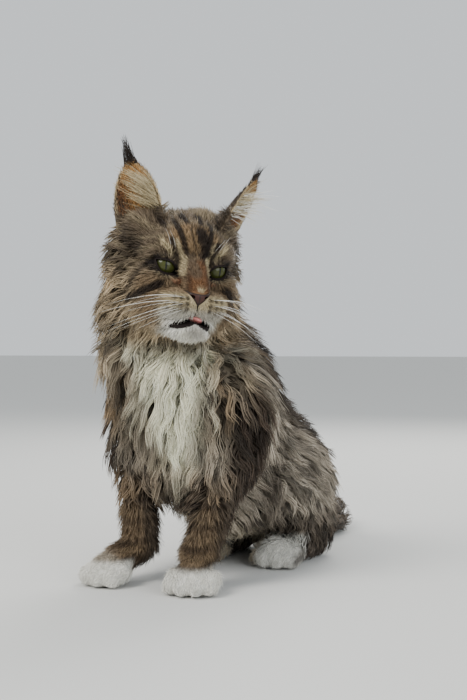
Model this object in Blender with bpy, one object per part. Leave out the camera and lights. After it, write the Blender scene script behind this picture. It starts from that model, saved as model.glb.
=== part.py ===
"""A sitting Maine Coon cat, life size, as still solids. Metres, +Z up.

The cat faces -Y, its left side is +X, and the origin is the middle of the flat that its rump sits on.
The body is one blended form, worked out from a short list of muscle masses, and thin cuts part it into
head, neck, torso, legs and tail. The long coat is flat, tapered locks that follow the lie of the fur.
"""

import math

import bmesh
import bpy
import numpy as np
from mathutils import Matrix, Vector

# Driving sizes and places, in metres and degrees
CUT = 0.0003  # width of the thin cuts between neighbouring nodes
SLIVER = 0.000004  # faces thinner than this are dropped after a cut
HEAD_AT = (0.0064, -0.2639, 0.3322)  # middle of the skull, level with the eyes
HEAD_TURN = 50.0  # the head looks this far to the cat's left
HEAD_NOD = -3.0
HEAD_TILT = 5.0  # left side of the head lower
EYE_AT = (0.0370, 0.0265, 0.0)  # forward, sideways and up from the middle of the skull
EYE_RADIUS = 0.0115
EYE_SPLAY = 12.0  # each eye looks this far outwards
LID_THICKNESS = 0.0019
MOUTH_DEPTH = 0.016
NOSTRIL = (0.0055, 0.0032, 0.0024)
CORE_REACH = 0.5  # share of a long coat's depth that the smooth core under its locks fills
LIE_BLEND = 0.010  # the lie of the hair passes from one mass to the next over this distance
VOXEL = 0.0038
HEAD_TRIANGLES = 2500
BODY_TRIANGLES = 3300

FUR_COLOURS = {
    "brown_tabby": (0.16, 0.115, 0.08),
    "grey_brown": (0.11, 0.088, 0.07),
    "white_fur": (0.72, 0.68, 0.62),
    "buff_fur": (0.30, 0.25, 0.20),
    "ear_fur": (0.20, 0.13, 0.09),
    "eye_green": (0.13, 0.14, 0.03),
    "nose_leather": (0.16, 0.06, 0.045),
    "tongue_pink": (0.55, 0.16, 0.17),
}


# Ways in which the hair lies, before it is laid flat on the surface
DOWN = (0.0, 0.0, -1.0)
DOWN_BACK = (0.0, 0.50, -0.87)
BACKWARD = (0.0, 0.75, -0.66)


def unit(vector):
    vector = np.asarray(vector, float)
    return vector / np.linalg.norm(vector)


def head_axes():
    """Forward, left and up of the turned, nodding and tilted head, as rows."""
    turn, nod, tilt = (math.radians(a) for a in (HEAD_TURN, HEAD_NOD, HEAD_TILT))
    level = np.array([math.sin(turn), -math.cos(turn), 0.0])
    left = np.array([math.cos(turn), math.sin(turn), 0.0])
    up = np.array([0.0, 0.0, 1.0])
    forward = level * math.cos(nod) + up * math.sin(nod)
    up = up * math.cos(nod) - level * math.sin(nod)
    return np.array([forward, left * math.cos(tilt) - up * math.sin(tilt), up * math.cos(tilt) + left * math.sin(tilt)])


HEAD = head_axes()


def on_head(forward, left, up):
    """A place given in the head's own directions, as a point of the model."""
    return np.array(HEAD_AT) + np.array([forward, left, up]) @ HEAD


class Mass:
    """A lump of flesh with the depth of its coat, the kind of lock that it grows and the way the hair lies."""

    def __init__(self, coat, blend, lock, lie):
        self.coat = coat
        self.blend = blend
        self.lock = lock
        self.lie = unit(lie)

    def depth(self, reach):
        """Short fur is part of the core; a long coat is filled only as far as asked."""
        return self.coat * (1.0 if self.lock is None else reach)


class Ball(Mass):
    """An ellipsoid with its own axes."""

    def __init__(self, at, radii, coat, axes=None, lean=0.0, blend=0.02, lock=None, lie=DOWN):
        super().__init__(coat, blend, lock, lie)
        self.at = np.asarray(at, float)
        self.radii = np.asarray(radii, float)
        if axes is None:
            c, s = math.cos(math.radians(lean)), math.sin(math.radians(lean))
            axes = np.array([[1, 0, 0], [0, c, s], [0, -s, c]])
        self.axes = axes

    def distance(self, points, reach):
        radii = self.radii + self.depth(reach)
        local = (points - self.at) @ self.axes.T
        near = np.linalg.norm(local / radii, axis=1)
        steep = np.maximum(np.linalg.norm(local / radii**2, axis=1), 1e-9)
        return near * (near - 1.0) / steep

    def beads(self, reach):
        return [(self.at, self.radii + self.depth(reach), self.axes)]


class Limb(Mass):
    """A rounded bar from one end to the other, with a radius at each end."""

    def __init__(self, start, end, radii, coat, blend=0.02, lock=None, lie=DOWN):
        super().__init__(coat, blend, lock, lie)
        self.start, self.end = np.asarray(start, float), np.asarray(end, float)
        self.radii = radii

    def distance(self, points, reach):
        along = self.end - self.start
        share = np.clip(((points - self.start) @ along) / (along @ along), 0.0, 1.0)
        nearest = self.start + share[:, None] * along
        radius = self.radii[0] + share * (self.radii[1] - self.radii[0]) + self.depth(reach)
        return np.linalg.norm(points - nearest, axis=1) - radius

    def beads(self, reach):
        small = min(self.radii) + self.depth(reach)
        count = max(2, math.ceil(np.linalg.norm(self.end - self.start) / (0.5 * small)))
        made = []
        for share in np.linspace(0.0, 1.0, count):
            radius = self.radii[0] + share * (self.radii[1] - self.radii[0]) + self.depth(reach)
            made.append((self.start + share * (self.end - self.start), np.full(3, radius), np.eye(3)))
        return made


def head_masses():
    """Skull, cheeks, brow, nose bridge, whisker pads, jaw, chin and the ruff behind the cheeks."""

    def ball(at, radii, coat, blend=0.012, lock=None, lie=(-1.0, 0.0, 0.1)):
        return Ball(on_head(*at), radii, coat, axes=HEAD, blend=blend, lock=lock, lie=np.array(lie) @ HEAD)

    masses = [
        ball((-0.010, 0.0, 0.020), (0.050, 0.046, 0.038), 0.007),
        ball((0.026, 0.0, 0.022), (0.024, 0.034, 0.022), 0.005),
        ball((-0.012, 0.024, 0.032), (0.030, 0.022, 0.030), 0.009),
        ball((0.010, 0.0, -0.030), (0.040, 0.042, 0.034), 0.008),
        Limb(on_head(0.036, 0.0, 0.012), on_head(0.063, 0.0, -0.020), (0.0140, 0.0115), 0.0015, 0.010),
        ball((0.0670, 0.0, -0.0285), (0.0110, 0.0128, 0.0085), 0.0005, 0.004),
        ball((0.056, 0.0, -0.0585), (0.0155, 0.017, 0.0095), 0.003, 0.008),
    ]
    for side in (1, -1):
        swept = (-0.75, 0.35 * side, -0.55)
        masses += [
            ball((-0.006, 0.040 * side, 0.032), (0.024, 0.018, 0.020), 0.005),
            ball((0.004, 0.028 * side, -0.020), (0.032, 0.025, 0.028), 0.012, lie=swept),
            ball((0.022, 0.030 * side, 0.016), (0.022, 0.017, 0.013), 0.003),
            ball((0.034, 0.031 * side, -0.016), (0.018, 0.015, 0.012), 0.003),
            ball((0.058, 0.0140 * side, -0.037), (0.018, 0.0180, 0.0135), 0.003, 0.006),
            ball((0.034, 0.025 * side, -0.038), (0.020, 0.018, 0.017), 0.004),
            ball((-0.022, 0.050 * side, 0.006), (0.026, 0.015, 0.026), 0.017, lock="cheek", lie=swept),
            Limb(
                on_head(0.012, 0.026 * side, -0.042),
                on_head(0.048, 0.008 * side, -0.055),
                (0.021, 0.012),
                0.005,
                0.012,
            ),
        ]
    hanging = (-0.45, 0.35, -0.80)
    masses.append(ball((-0.036, 0.042, -0.034), (0.028, 0.016, 0.024), 0.025, 0.02, "ruff", hanging))
    hanging = (-0.45, -0.35, -0.80)
    masses.append(ball((-0.036, -0.042, -0.052), (0.026, 0.014, 0.030), 0.024, 0.02, "ruff", hanging))
    return masses


def torso_masses():
    masses = [
        Ball((0, -0.008, 0.0705), (0.050, 0.052, 0.067), 0.018, lean=-15, blend=0.03, lock="back", lie=DOWN_BACK),
        Ball((0, -0.080, 0.122), (0.050, 0.074, 0.064), 0.021, lean=-35, blend=0.04, lock="back", lie=BACKWARD),
        Ball((0, -0.165, 0.178), (0.050, 0.064, 0.080), 0.022, lean=-20, blend=0.04, lock="back", lie=DOWN_BACK),
        Limb(
            (0, -0.200, 0.220), (-0.020, -0.236, 0.290), (0.050, 0.042), 0.024, 0.03, lock="ruff", lie=(0, 0.25, -1)
        ),
        Ball((0.004, -0.244, 0.192), (0.044, 0.034, 0.052), 0.034, lean=-8, blend=0.03, lock="bib", lie=(0, 0.1, -1)),
        Ball((-0.058, -0.256, 0.236), (0.018, 0.026, 0.030), 0.026, blend=0.02, lock="ruff", lie=(-0.2, 0.15, -1)),
        Ball((-0.004, -0.205, 0.116), (0.028, 0.046, 0.028), 0.026, blend=0.02, lock="belly", lie=DOWN_BACK),
        Ball((0.0, -0.130, 0.082), (0.036, 0.050, 0.030), 0.026, blend=0.03, lock="belly", lie=BACKWARD),
    ]
    for side in (1, -1):
        at = (0.050 * side, -0.222, 0.182)
        masses.append(Ball(at, (0.026, 0.038, 0.055), 0.026, lean=10, blend=0.02, lock="shoulder", lie=(0, 0.35, -1)))
    return masses


FORELEGS = {
    1: {"shoulder": (0.052, -0.225, 0.185), "elbow": (0.048, -0.228, 0.138), "wrist": (0.032, -0.264, 0.036), "turn": 17},
    -1: {"shoulder": (-0.058, -0.225, 0.185), "elbow": (-0.062, -0.234, 0.138), "wrist": (-0.050, -0.252, 0.036), "turn": -17},
}
FOREPAW_LENGTH = {1: 0.058, -1: 0.073}  # from the wrist to the front of the toes
TOE_SPREAD = (-0.0190, -0.0068, 0.0068, 0.0190)
TOE_REACH = (-0.007, 0.0, 0.0, -0.007)
TOE_RADIUS = 0.0092


def toes(front_middle, forward, coat):
    side = np.array([-forward[1], forward[0], 0.0])
    made = []
    for spread, reach in zip(TOE_SPREAD, TOE_REACH):
        tip = front_middle + side * spread + forward * (reach - TOE_RADIUS - coat)
        back = tip - forward * 0.014 + np.array([0, 0, 0.005])
        made.append(Limb(back, tip, (TOE_RADIUS, TOE_RADIUS), coat, 0.004))
    return made


def foreleg_masses(side):
    leg = FORELEGS[side]
    turn = math.radians(leg["turn"])
    forward = np.array([math.sin(turn), -math.cos(turn), 0.0])
    wrist = np.array(leg["wrist"])
    length = FOREPAW_LENGTH[side]
    ground = np.array([wrist[0], wrist[1], 0.0])
    return [
        Limb(leg["shoulder"], leg["elbow"], (0.026, 0.020), 0.024, 0.02, lock="shoulder", lie=(0, 0.3, -1)),
        Limb(leg["elbow"], wrist, (0.018, 0.0135), 0.011, 0.015, lie=(0, 0.3, -1)),
        Limb(wrist, ground + forward * (length - 0.032) + np.array([0, 0, 0.017]), (0.0135, 0.0165), 0.004, 0.008),
        Ball(ground + forward * (length - 0.032) + np.array([0, 0, 0.0145]), (0.022, 0.022, 0.0145), 0.004, blend=0.006),
    ] + toes(ground + forward * length + np.array([0, 0, 0.0095]), forward, 0.003)


HIND_HEEL = (0.050, -0.022, 0.0195)
HIND_TOE = (0.0485, -0.145, 0.0095)


def hindleg_masses(side):
    def flip(point):
        return np.array([point[0] * side, point[1], point[2]])

    heel, toe = flip(HIND_HEEL), flip(HIND_TOE)
    ball_of_foot = toe + np.array([0, 0.032, 0.006])
    return [
        Ball(
            flip((0.048, -0.062, 0.086)), (0.025, 0.054, 0.052), 0.018, lean=-22, blend=0.02, lock="thigh", lie=DOWN_BACK
        ),
        Limb(
            flip((0.056, -0.105, 0.078)),
            flip((0.054, -0.036, 0.036)),
            (0.022, 0.016),
            0.013,
            0.02,
            lock="thigh",
            lie=DOWN_BACK,
        ),
        Limb(heel, ball_of_foot, (0.0135, 0.0150), 0.006, 0.012),
        Ball(ball_of_foot, (0.021, 0.022, 0.0135), 0.005, blend=0.006),
    ] + toes(toe, np.array([0.0, -1.0, 0.0]), 0.004)


TAIL_LINE = [
    (0.0, 0.030, 0.053),
    (0.0, 0.068, 0.034),
    (0.0, 0.115, 0.022),
    (-0.006, 0.160, 0.019),
    (-0.026, 0.204, 0.018),
    (-0.066, 0.234, 0.017),
    (-0.114, 0.232, 0.016),
    (-0.154, 0.204, 0.015),
    (-0.176, 0.160, 0.014),
    (-0.182, 0.114, 0.013),
]


def tail_masses():
    masses = []
    count = len(TAIL_LINE) - 1
    for i in range(count):
        radii = [0.0115 - 0.0055 * (i + k) / count for k in (0, 1)]
        along = np.subtract(TAIL_LINE[i + 1], TAIL_LINE[i])
        masses.append(Limb(TAIL_LINE[i], TAIL_LINE[i + 1], radii, 0.016, 0.010, lock="tail", lie=along))
    return masses


MASSES = head_masses() + torso_masses() + tail_masses()
for which in (1, -1):
    MASSES += foreleg_masses(which) + hindleg_masses(which)


def soft_min(first, second, width):
    mix = np.clip(0.5 + 0.5 * (second - first) / width, 0.0, 1.0)
    return second + (first - second) * mix - width * mix * (1.0 - mix)


def distance(points, reach):
    """How far points lie outside the blended body, with the long coat filled up to that share of its depth."""
    total = MASSES[0].distance(points, reach)
    for mass in MASSES[1:]:
        total = soft_min(total, mass.distance(points, reach), mass.blend)
    return total


def outward(points, reach, step=0.0005):
    slope = np.empty_like(points)
    for k in range(3):
        shift = np.zeros(3)
        shift[k] = step
        slope[:, k] = distance(points + shift, reach) - distance(points - shift, reach)
    return slope / np.maximum(np.linalg.norm(slope, axis=1), 1e-12)[:, None]


def nearest_mass(points, reach):
    """The mass whose surface each point lies closest to, and how the hair lies there."""
    gaps = np.array([mass.distance(points, reach) for mass in MASSES])
    share = np.exp(-np.maximum(gaps - gaps.min(axis=0), 0.0) / LIE_BLEND)
    lie = np.einsum("mp,mk->pk", share, np.array([mass.lie for mass in MASSES]))
    return gaps.argmin(axis=0), lie


def link(name, mesh):
    made = bpy.data.objects.new(name, mesh)
    bpy.context.scene.collection.objects.link(made)
    return made


def mesh_points(mesh):
    points = np.empty(len(mesh.vertices) * 3)
    mesh.vertices.foreach_get("co", points)
    return points.reshape(-1, 3)


def apply_modifiers(thing):
    graph = bpy.context.evaluated_depsgraph_get()
    finished = bpy.data.meshes.new_from_object(thing.evaluated_get(graph))
    thing.modifiers.clear()
    old = thing.data
    thing.data = finished
    bpy.data.meshes.remove(old)
    return thing


def blended_body(reach):
    """Overlapping beads along every mass, remeshed as one skin, then drawn onto the blended surface."""
    shape = bmesh.new()
    for mass in MASSES:
        for at, radii, axes in mass.beads(reach):
            place = Matrix.Translation(Vector(at)) @ Matrix(axes.T).to_4x4() @ Matrix.Diagonal((*radii, 1.0))
            bmesh.ops.create_icosphere(shape, subdivisions=2, radius=1.0, matrix=place)
    mesh = bpy.data.meshes.new("body_form")
    shape.to_mesh(mesh)
    shape.free()
    body = link("body_form", mesh)
    remesh = body.modifiers.new("one skin", "REMESH")
    remesh.mode = "VOXEL"
    remesh.voxel_size = VOXEL
    apply_modifiers(body)
    for _ in range(2):
        settle(body, reach, 1)
        even_out(body)
    settle(body, reach, 2)
    return body


def settle(body, reach, steps):
    """Moves each vertex along the slope onto the blended surface."""
    points = mesh_points(body.data)
    for _ in range(steps):
        points -= np.clip(distance(points, reach), -0.004, 0.004)[:, None] * outward(points, reach)
    body.data.vertices.foreach_set("co", points.ravel())
    body.data.update()


def even_out(body):
    smooth = body.modifiers.new("even faces", "SMOOTH")
    smooth.factor = 0.5
    smooth.iterations = 2
    apply_modifiers(body)


def thinned(thing, triangles):
    thing.data.calc_loop_triangles()
    decimate = thing.modifiers.new("fewer faces", "DECIMATE")
    decimate.ratio = min(1.0, triangles / len(thing.data.loop_triangles))
    decimate.use_collapse_triangulate = True
    return apply_modifiers(thing)


# Each plane is a point on it and the direction in which its node lies.
def plane(point, towards):
    return np.asarray(point, float), unit(towards)


def region(name, planes, grow=0.0):
    """A convex block, bounded by planes and moved outwards by grow, that one node lies in."""
    block = bmesh.new()
    bmesh.ops.create_cube(block, size=2.0)
    for point, towards in planes:
        everything = block.verts[:] + block.edges[:] + block.faces[:]
        cut = bmesh.ops.bisect_plane(
            block, geom=everything, plane_co=point - towards * grow, plane_no=towards, clear_inner=True
        )
        edges = [g for g in cut["geom_cut"] if isinstance(g, bmesh.types.BMEdge)]
        bmesh.ops.contextual_create(block, geom=edges)
    bmesh.ops.recalc_face_normals(block, faces=block.faces)
    mesh = bpy.data.meshes.new(name)
    block.to_mesh(mesh)
    block.free()
    return link(name, mesh)


def combine(thing, others, operation, solver="EXACT"):
    """One Boolean with a collection of closed pieces, applied, and the pieces removed."""
    group = bpy.data.collections.new("pieces")
    for other in others:
        group.objects.link(other)
    join = thing.modifiers.new("combine", "BOOLEAN")
    join.operation = operation
    join.solver = solver
    join.operand_type = "COLLECTION"
    join.collection = group
    apply_modifiers(thing)
    for other in others:
        bpy.data.objects.remove(other)
    bpy.data.collections.remove(group)
    return thing


def in_triangles(mesh):
    """The mesh as triangles, with needles dissolved where that leaves it closed."""
    for sliver in (SLIVER, 0.0):
        shape = bmesh.new()
        shape.from_mesh(mesh)
        bmesh.ops.triangulate(shape, faces=shape.faces)
        bmesh.ops.dissolve_degenerate(shape, dist=sliver, edges=shape.edges)
        if sliver == 0.0 or all(len(edge.link_faces) == 2 for edge in shape.edges):
            return shape
        shape.free()


def largest_piece(thing):
    """Keeps only the largest closed surface."""
    shape = in_triangles(thing.data)
    waiting, shells = set(shape.faces), []
    while waiting:
        shell, edge = set(), [waiting.pop()]
        while edge:
            face = edge.pop()
            shell.add(face)
            for corner in face.edges:
                for other in corner.link_faces:
                    if other in waiting:
                        waiting.discard(other)
                        edge.append(other)
        shells.append(shell)
    shells.sort(key=lambda shell: sum(face.calc_area() for face in shell))
    loose = [face for shell in shells[:-1] for face in shell]
    bmesh.ops.delete(shape, geom=loose, context="FACES")
    shape.to_mesh(thing.data)
    shape.free()
    return thing


def copy_of(thing, name):
    made = link(name, thing.data.copy())
    return made


def material(name, roughness=0.85):
    colour = FUR_COLOURS[name]
    made = bpy.data.materials.get(name) or bpy.data.materials.new(name)
    made.use_nodes = True
    shader = made.node_tree.nodes["Principled BSDF"]
    shader.inputs["Base Color"].default_value = (*colour, 1.0)
    shader.inputs["Roughness"].default_value = roughness
    shader.inputs["Metallic"].default_value = 0.0
    made.diffuse_color = (*colour, 1.0)
    return made


def dress(thing, name, roughness=0.85):
    thing.data.materials.clear()
    thing.data.materials.append(material(name, roughness))
    for face in thing.data.polygons:
        face.material_index = 0
    thing.data.shade_smooth()


# Where the body is parted
NECK_TOP = on_head(-0.030, 0.0, -0.020)
THROAT = on_head(0.055, 0.0, -0.072)
SHOULDER_LINE = (0.0, -0.140, 0.300)
TAIL_ROOT = (0.0, 0.080, 0.040)
FORELEG_TOP = 0.145
FORELEG_BACK = -0.165
LEG_GAP = -0.006  # the forelegs part a little to the right of the middle
PAW_TOP = 0.034
THIGH_TOP = 0.165
HIND_FOOT_TOP = 0.036


def regions():
    """Blocks of the nodes in the order in which they take their share of the body."""
    found = {
        "head": [plane(NECK_TOP, np.array([0.85, 0.0, 0.53]) @ HEAD), plane(THROAT, np.array([-0.20, 0.0, 1.0]) @ HEAD)],
        "neck": [plane(SHOULDER_LINE, (0.0, -0.685, 0.728))],
        "tail_tip": [plane((-0.125, 0.2, 0.0), (-1.0, 0.15, 0.0)), plane(TAIL_ROOT, (0, 1, 0))],
        "tail_middle": [plane((0.0, 0.165, 0.0), (-0.25, 1.0, 0.0))],
        "tail_root": [plane(TAIL_ROOT, (0.0, 1.0, -0.25))],
    }
    for side, word in ((1, "left"), (-1, "right")):
        leg = FORELEGS[side]
        turn = math.radians(leg["turn"])
        forward = np.array([math.sin(turn), -math.cos(turn), 0.0])
        inner = plane((LEG_GAP, 0, 0), (side, 0, 0))
        front = [plane((0, FORELEG_BACK, 0), (0, -1, 0)), inner]
        paw_front = np.array(leg["wrist"]) + forward * 0.008
        found["forepaw_" + word] = front + [
            plane((0, 0, PAW_TOP), (0, 0, -1)),
            plane((paw_front[0], paw_front[1], 0.018), forward + np.array([0, 0, 0.5])),
        ]
        found["foreleg_" + word] = front + [plane((0, 0, FORELEG_TOP), (0, 0.25, -1))]
        outer = plane((0.022 * side, 0, 0), (side, 0, -0.26))
        found["hindpaw_" + word] = [
            outer,
            plane((0, 0, HIND_FOOT_TOP), (0, 0, -1)),
            plane((0, -0.095, 0.02), (0, -1, -0.25)),
        ]
        found["hindleg_" + word] = [
            outer,
            plane((0, 0, THIGH_TOP), (0, -0.2, -1)),
            plane((0, -0.15, 0.15), (0, 1, -0.35)),
        ]
    return found


REGIONS = regions()
LOOK = {
    "head": "brown_tabby",
    "neck": "grey_brown",
    "tail_tip": "grey_brown",
    "tail_middle": "grey_brown",
    "tail_root": "brown_tabby",
    "torso": "brown_tabby",
    "nose": "nose_leather",
    "tongue": "tongue_pink",
}


def look_of(name):
    if "paw" in name:
        return "white_fur"
    if "ear" in name:
        return "ear_fur"
    if "eye" in name:
        return "eye_green"
    return LOOK.get(name, "buff_fur" if "hindleg" in name else "grey_brown")


# Sizes of the locks in metres: length, half width, thickness, distance between roots, and how much they wave
LOCKS = {
    "ruff": (0.060, 0.0130, 0.0075, 0.031, 0.35),
    "bib": (0.068, 0.0125, 0.0075, 0.031, 0.40),
    "shoulder": (0.056, 0.0130, 0.0070, 0.036, 0.30),
    "back": (0.058, 0.0155, 0.0070, 0.042, 0.20),
    "belly": (0.046, 0.0125, 0.0065, 0.037, 0.25),
    "thigh": (0.054, 0.0140, 0.0070, 0.037, 0.30),
    "tail": (0.050, 0.0120, 0.0065, 0.029, 0.15),
    "cheek": (0.036, 0.0090, 0.0050, 0.025, 0.20),
}
LOCK_SEED = 7
LOCK_SINK = 0.006  # how deep a root sits in the core
LOCK_REACH = (0.60, 0.86, 1.0, 1.05)  # share of the coat's depth at each step from the root to the tip
LOCK_TAPER = (0.75, 1.0, 0.95, 0.62)
LOCK_SHRINK = (1.0, 0.7, 0.65)  # steps in which a lock that does not fit is made shorter
ROOT_TRIES = 3000
ROOT_NEAR = 0.004  # roots are kept this close to the blended surface, so off the cuts
NODE_LOCK = {"neck": "bib"}  # what grows on a node where the nearest flesh has short fur
EDGE_ROOM = 0.0012  # a lock keeps this far inside its own node


def room(name, points):
    """How far points lie inside the share of space that belongs to a node, the floor included."""
    inside = points[:, 2].copy()
    for other, planes in REGIONS.items():
        steps = np.array([(points - point) @ towards for point, towards in planes])
        if other == name:
            return np.minimum(inside, steps.min(axis=0))
        inside = np.minimum(inside, -steps.min(axis=0))
    return inside


def scattered(thing, rng, tries):
    """Seeded random places, even over the area of a mesh."""
    thing.data.calc_loop_triangles()
    corners = np.array([t.vertices[:] for t in thing.data.loop_triangles])
    points = mesh_points(thing.data)[corners]
    area = np.linalg.norm(np.cross(points[:, 1] - points[:, 0], points[:, 2] - points[:, 0]), axis=1)
    picked = points[rng.choice(len(points), tries, p=area / area.sum())]
    a, b = rng.random((2, tries, 1))
    a, b = np.where(a + b > 1, 1 - a, a), np.where(a + b > 1, 1 - b, b)
    return picked[:, 0] + a * (picked[:, 1] - picked[:, 0]) + b * (picked[:, 2] - picked[:, 0])


def lock_roots(thing, name, rng):
    """Places on the core where locks grow, apart by the distance of their kind, with that kind."""
    points = scattered(thing, rng, ROOT_TRIES)
    points = points[np.abs(distance(points, CORE_REACH)) < ROOT_NEAR]
    points = points[room(name, points) > 3 * EDGE_ROOM]
    near, _ = nearest_mass(points, 1.0)
    kept, kinds = [], []
    for point, mass in zip(points, near):
        kind = MASSES[mass].lock or NODE_LOCK.get(name)
        if kind is None:
            continue
        apart = LOCKS[kind][3]
        if all(np.linalg.norm(point - other) > apart for other in kept):
            kept.append(point)
            kinds.append(kind)
    return np.array(kept), kinds


def lock_mesh(path, across, above, half, thick):
    """A closed, flat, tapered lock: three points round each station and one at the tip."""
    shape = bmesh.new()
    rings = []
    for place, side, up, w, t in zip(path[:-1], across, above, half, thick):
        ring = (place - side * w - up * t * 0.35, place + side * w - up * t * 0.35, place + up * t * 0.65)
        rings.append([shape.verts.new(Vector(point)) for point in ring])
    tip = shape.verts.new(Vector(path[-1]))
    shape.faces.new(rings[0][::-1])
    for here, there in zip(rings, rings[1:]):
        for i in range(3):
            k = (i + 1) % 3
            shape.faces.new((here[i], here[k], there[k], there[i]))
    for i in range(3):
        shape.faces.new((rings[-1][i], rings[-1][(i + 1) % 3], tip))
    bmesh.ops.triangulate(shape, faces=shape.faces)
    bmesh.ops.recalc_face_normals(shape, faces=shape.faces)
    mesh = bpy.data.meshes.new("lock")
    shape.to_mesh(mesh)
    shape.free()
    return link("lock", mesh)


def lock_paths(roots, sizes, phase):
    """Stations from root to tip along the lie of the coat, with the directions above and across each."""
    above = outward(roots, CORE_REACH)
    path, ups, acrosses = [roots - above * LOCK_SINK], [above], []
    point = roots
    for k, reach in enumerate(LOCK_REACH):
        _, lie = nearest_mass(point, reach)
        above = outward(point, reach)
        lie -= above * np.sum(lie * above, axis=1)[:, None]
        lie /= np.maximum(np.linalg.norm(lie, axis=1), 1e-6)[:, None]
        across = np.cross(above, lie)
        wave = (sizes[:, 4] * np.sin(phase + 2.2 * k))[:, None]
        heading = lie * np.cos(wave) + across * np.sin(wave)
        point = point + heading * (sizes[:, 0] / len(LOCK_REACH))[:, None]
        for _ in range(2):
            point = point - np.clip(distance(point, reach), -0.01, 0.01)[:, None] * outward(point, reach)
        path.append(point)
        ups.append(outward(point, reach))
        side = np.cross(ups[-1], heading)
        acrosses.append(side / np.linalg.norm(side, axis=1)[:, None])
    return np.array(path), np.array(ups), np.array(acrosses)


def grow_locks(thing, name):
    """Lays locks from roots in the core out to the tips; a lock too long for its node's share grows shorter."""
    rng = np.random.default_rng(LOCK_SEED + sum(map(ord, name)))
    roots, kinds = lock_roots(thing, name, rng)
    if not len(roots):
        return thing
    sizes = np.array([LOCKS[kind] for kind in kinds]) * rng.uniform(0.85, 1.15, (len(roots), 1))
    phase = rng.uniform(0, 2 * math.pi, len(roots))
    waiting = np.arange(len(roots))
    locks = []
    for shrink in LOCK_SHRINK:
        sizes[waiting, 0] *= shrink
        paths, ups, acrosses = lock_paths(roots[waiting], sizes[waiting], phase[waiting])
        left = []
        for i, lock in enumerate(waiting):
            free = room(name, paths[:, i])
            if free.min() < EDGE_ROOM:
                left.append(lock)
                continue
            taper = np.array(LOCK_TAPER)
            half = np.minimum(sizes[lock, 1] * taper, (free[:-1] - EDGE_ROOM * 0.5) * 0.95)
            thick = np.minimum(sizes[lock, 2] * taper, half)
            locks.append(lock_mesh(paths[:, i], acrosses[:, i], ups[:-1, i], half, thick))
        waiting = np.array(left, int)
        if not len(waiting):
            break
    # The exact solver takes minutes on this many crossing pieces
    combine(thing, locks, "UNION", "MANIFOLD")
    return largest_piece(thing)


def grown(thing, by):
    """A copy moved outwards along its normals, to cut a gap of that width."""
    made = copy_of(thing, thing.name + "_grown")
    points = mesh_points(made.data)
    normals = np.empty(len(points) * 3)
    made.data.vertices.foreach_get("normal", normals)
    made.data.vertices.foreach_set("co", (points + by * normals.reshape(-1, 3)).ravel())
    made.data.update()
    return made


def part_body(body):
    """Thin cuts share the body out among its nodes; what is left over is the torso."""
    combine(body, [region("floor", [plane((0, 0, 0), (0, 0, 1))])], "INTERSECT")
    head = copy_of(body, "head")
    near_head = [(point - towards * 0.02, towards) for point, towards in REGIONS["head"]]
    combine(head, [region("near_head", near_head)], "INTERSECT")
    thinned(head, HEAD_TRIANGLES)
    nodes = {}
    thinned(body, BODY_TRIANGLES)
    combine(body, [region("floor", [plane((0, 0, 0), (0, 0, 1))])], "INTERSECT")
    for name, planes in REGIONS.items():
        node = head if name == "head" else copy_of(body, name)
        nodes[name] = largest_piece(combine(node, [region("inside", planes)], "INTERSECT"))
        combine(body, [region("outside", planes, CUT)], "DIFFERENCE")
    body.name = "torso"
    nodes["torso"] = largest_piece(body)
    return nodes


def ball_object(name, at, radii, axes=None, segments=18, rings=12):
    shape = bmesh.new()
    turned = Matrix(np.asarray(HEAD if axes is None else axes).T).to_4x4()
    place = Matrix.Translation(Vector(at)) @ turned @ Matrix.Diagonal((*radii, 1.0))
    bmesh.ops.create_uvsphere(shape, u_segments=segments, v_segments=rings, radius=1.0, matrix=place)
    # Axes of the right side are mirrored, which turns the faces inside out
    bmesh.ops.recalc_face_normals(shape, faces=shape.faces)
    mesh = bpy.data.meshes.new(name)
    shape.to_mesh(mesh)
    shape.free()
    return link(name, mesh)


def prism(name, outline, near, far):
    """A closed block between two loops: each outline point is moved by the near and by the far function."""
    shape = bmesh.new()
    rings = [[shape.verts.new(Vector(place(*point))) for point in outline] for place in (near, far)]
    count = len(outline)
    for i in range(count):
        k = (i + 1) % count
        shape.faces.new((rings[0][i], rings[0][k], rings[1][k], rings[1][i]))
    shape.faces.new(rings[0][::-1])
    shape.faces.new(rings[1])
    bmesh.ops.recalc_face_normals(shape, faces=shape.faces)
    mesh = bpy.data.meshes.new(name)
    shape.to_mesh(mesh)
    shape.free()
    return link(name, mesh)


# Almond of the open lids: outwards and up from the middle of the eye, in metres
LID_OPENING = [
    (0.0108, 0.0046),
    (0.0072, 0.0066),
    (0.0015, 0.0066),
    (-0.0046, 0.0046),
    (-0.0094, -0.0005),
    (-0.0145, -0.0078),
    (-0.0072, -0.0076),
    (0.0000, -0.0073),
    (0.0060, -0.0045),
]


def eye_frame(side):
    """Middle of the eyeball and its own outward-looking, sideways and up directions."""
    splay = math.radians(EYE_SPLAY)
    look = np.array([math.cos(splay), math.sin(splay) * side, 0.0]) @ HEAD
    out = np.array([-math.sin(splay), math.cos(splay) * side, 0.0]) @ HEAD
    forward, sideways, up = EYE_AT
    return on_head(forward, sideways * side, up), look, out, HEAD[2]


def lids(side):
    """Solid ball of the lids round the eye, the socket inside it and the almond cut through its front."""
    middle, look, out, up = eye_frame(side)
    lid = ball_object("lid", middle, np.full(3, EYE_RADIUS + LID_THICKNESS), axes=(out, up, look))
    socket = ball_object("socket", middle, np.full(3, EYE_RADIUS + CUT), axes=(out, up, look))

    def near(sideways, rise):
        return middle + out * sideways * 0.9 + up * rise * 0.9 + look * 0.002

    def far(sideways, rise):
        return middle + out * sideways * 1.25 + up * rise * 1.25 + look * 0.030

    return lid, socket, prism("opening", LID_OPENING, near, far)


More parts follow.
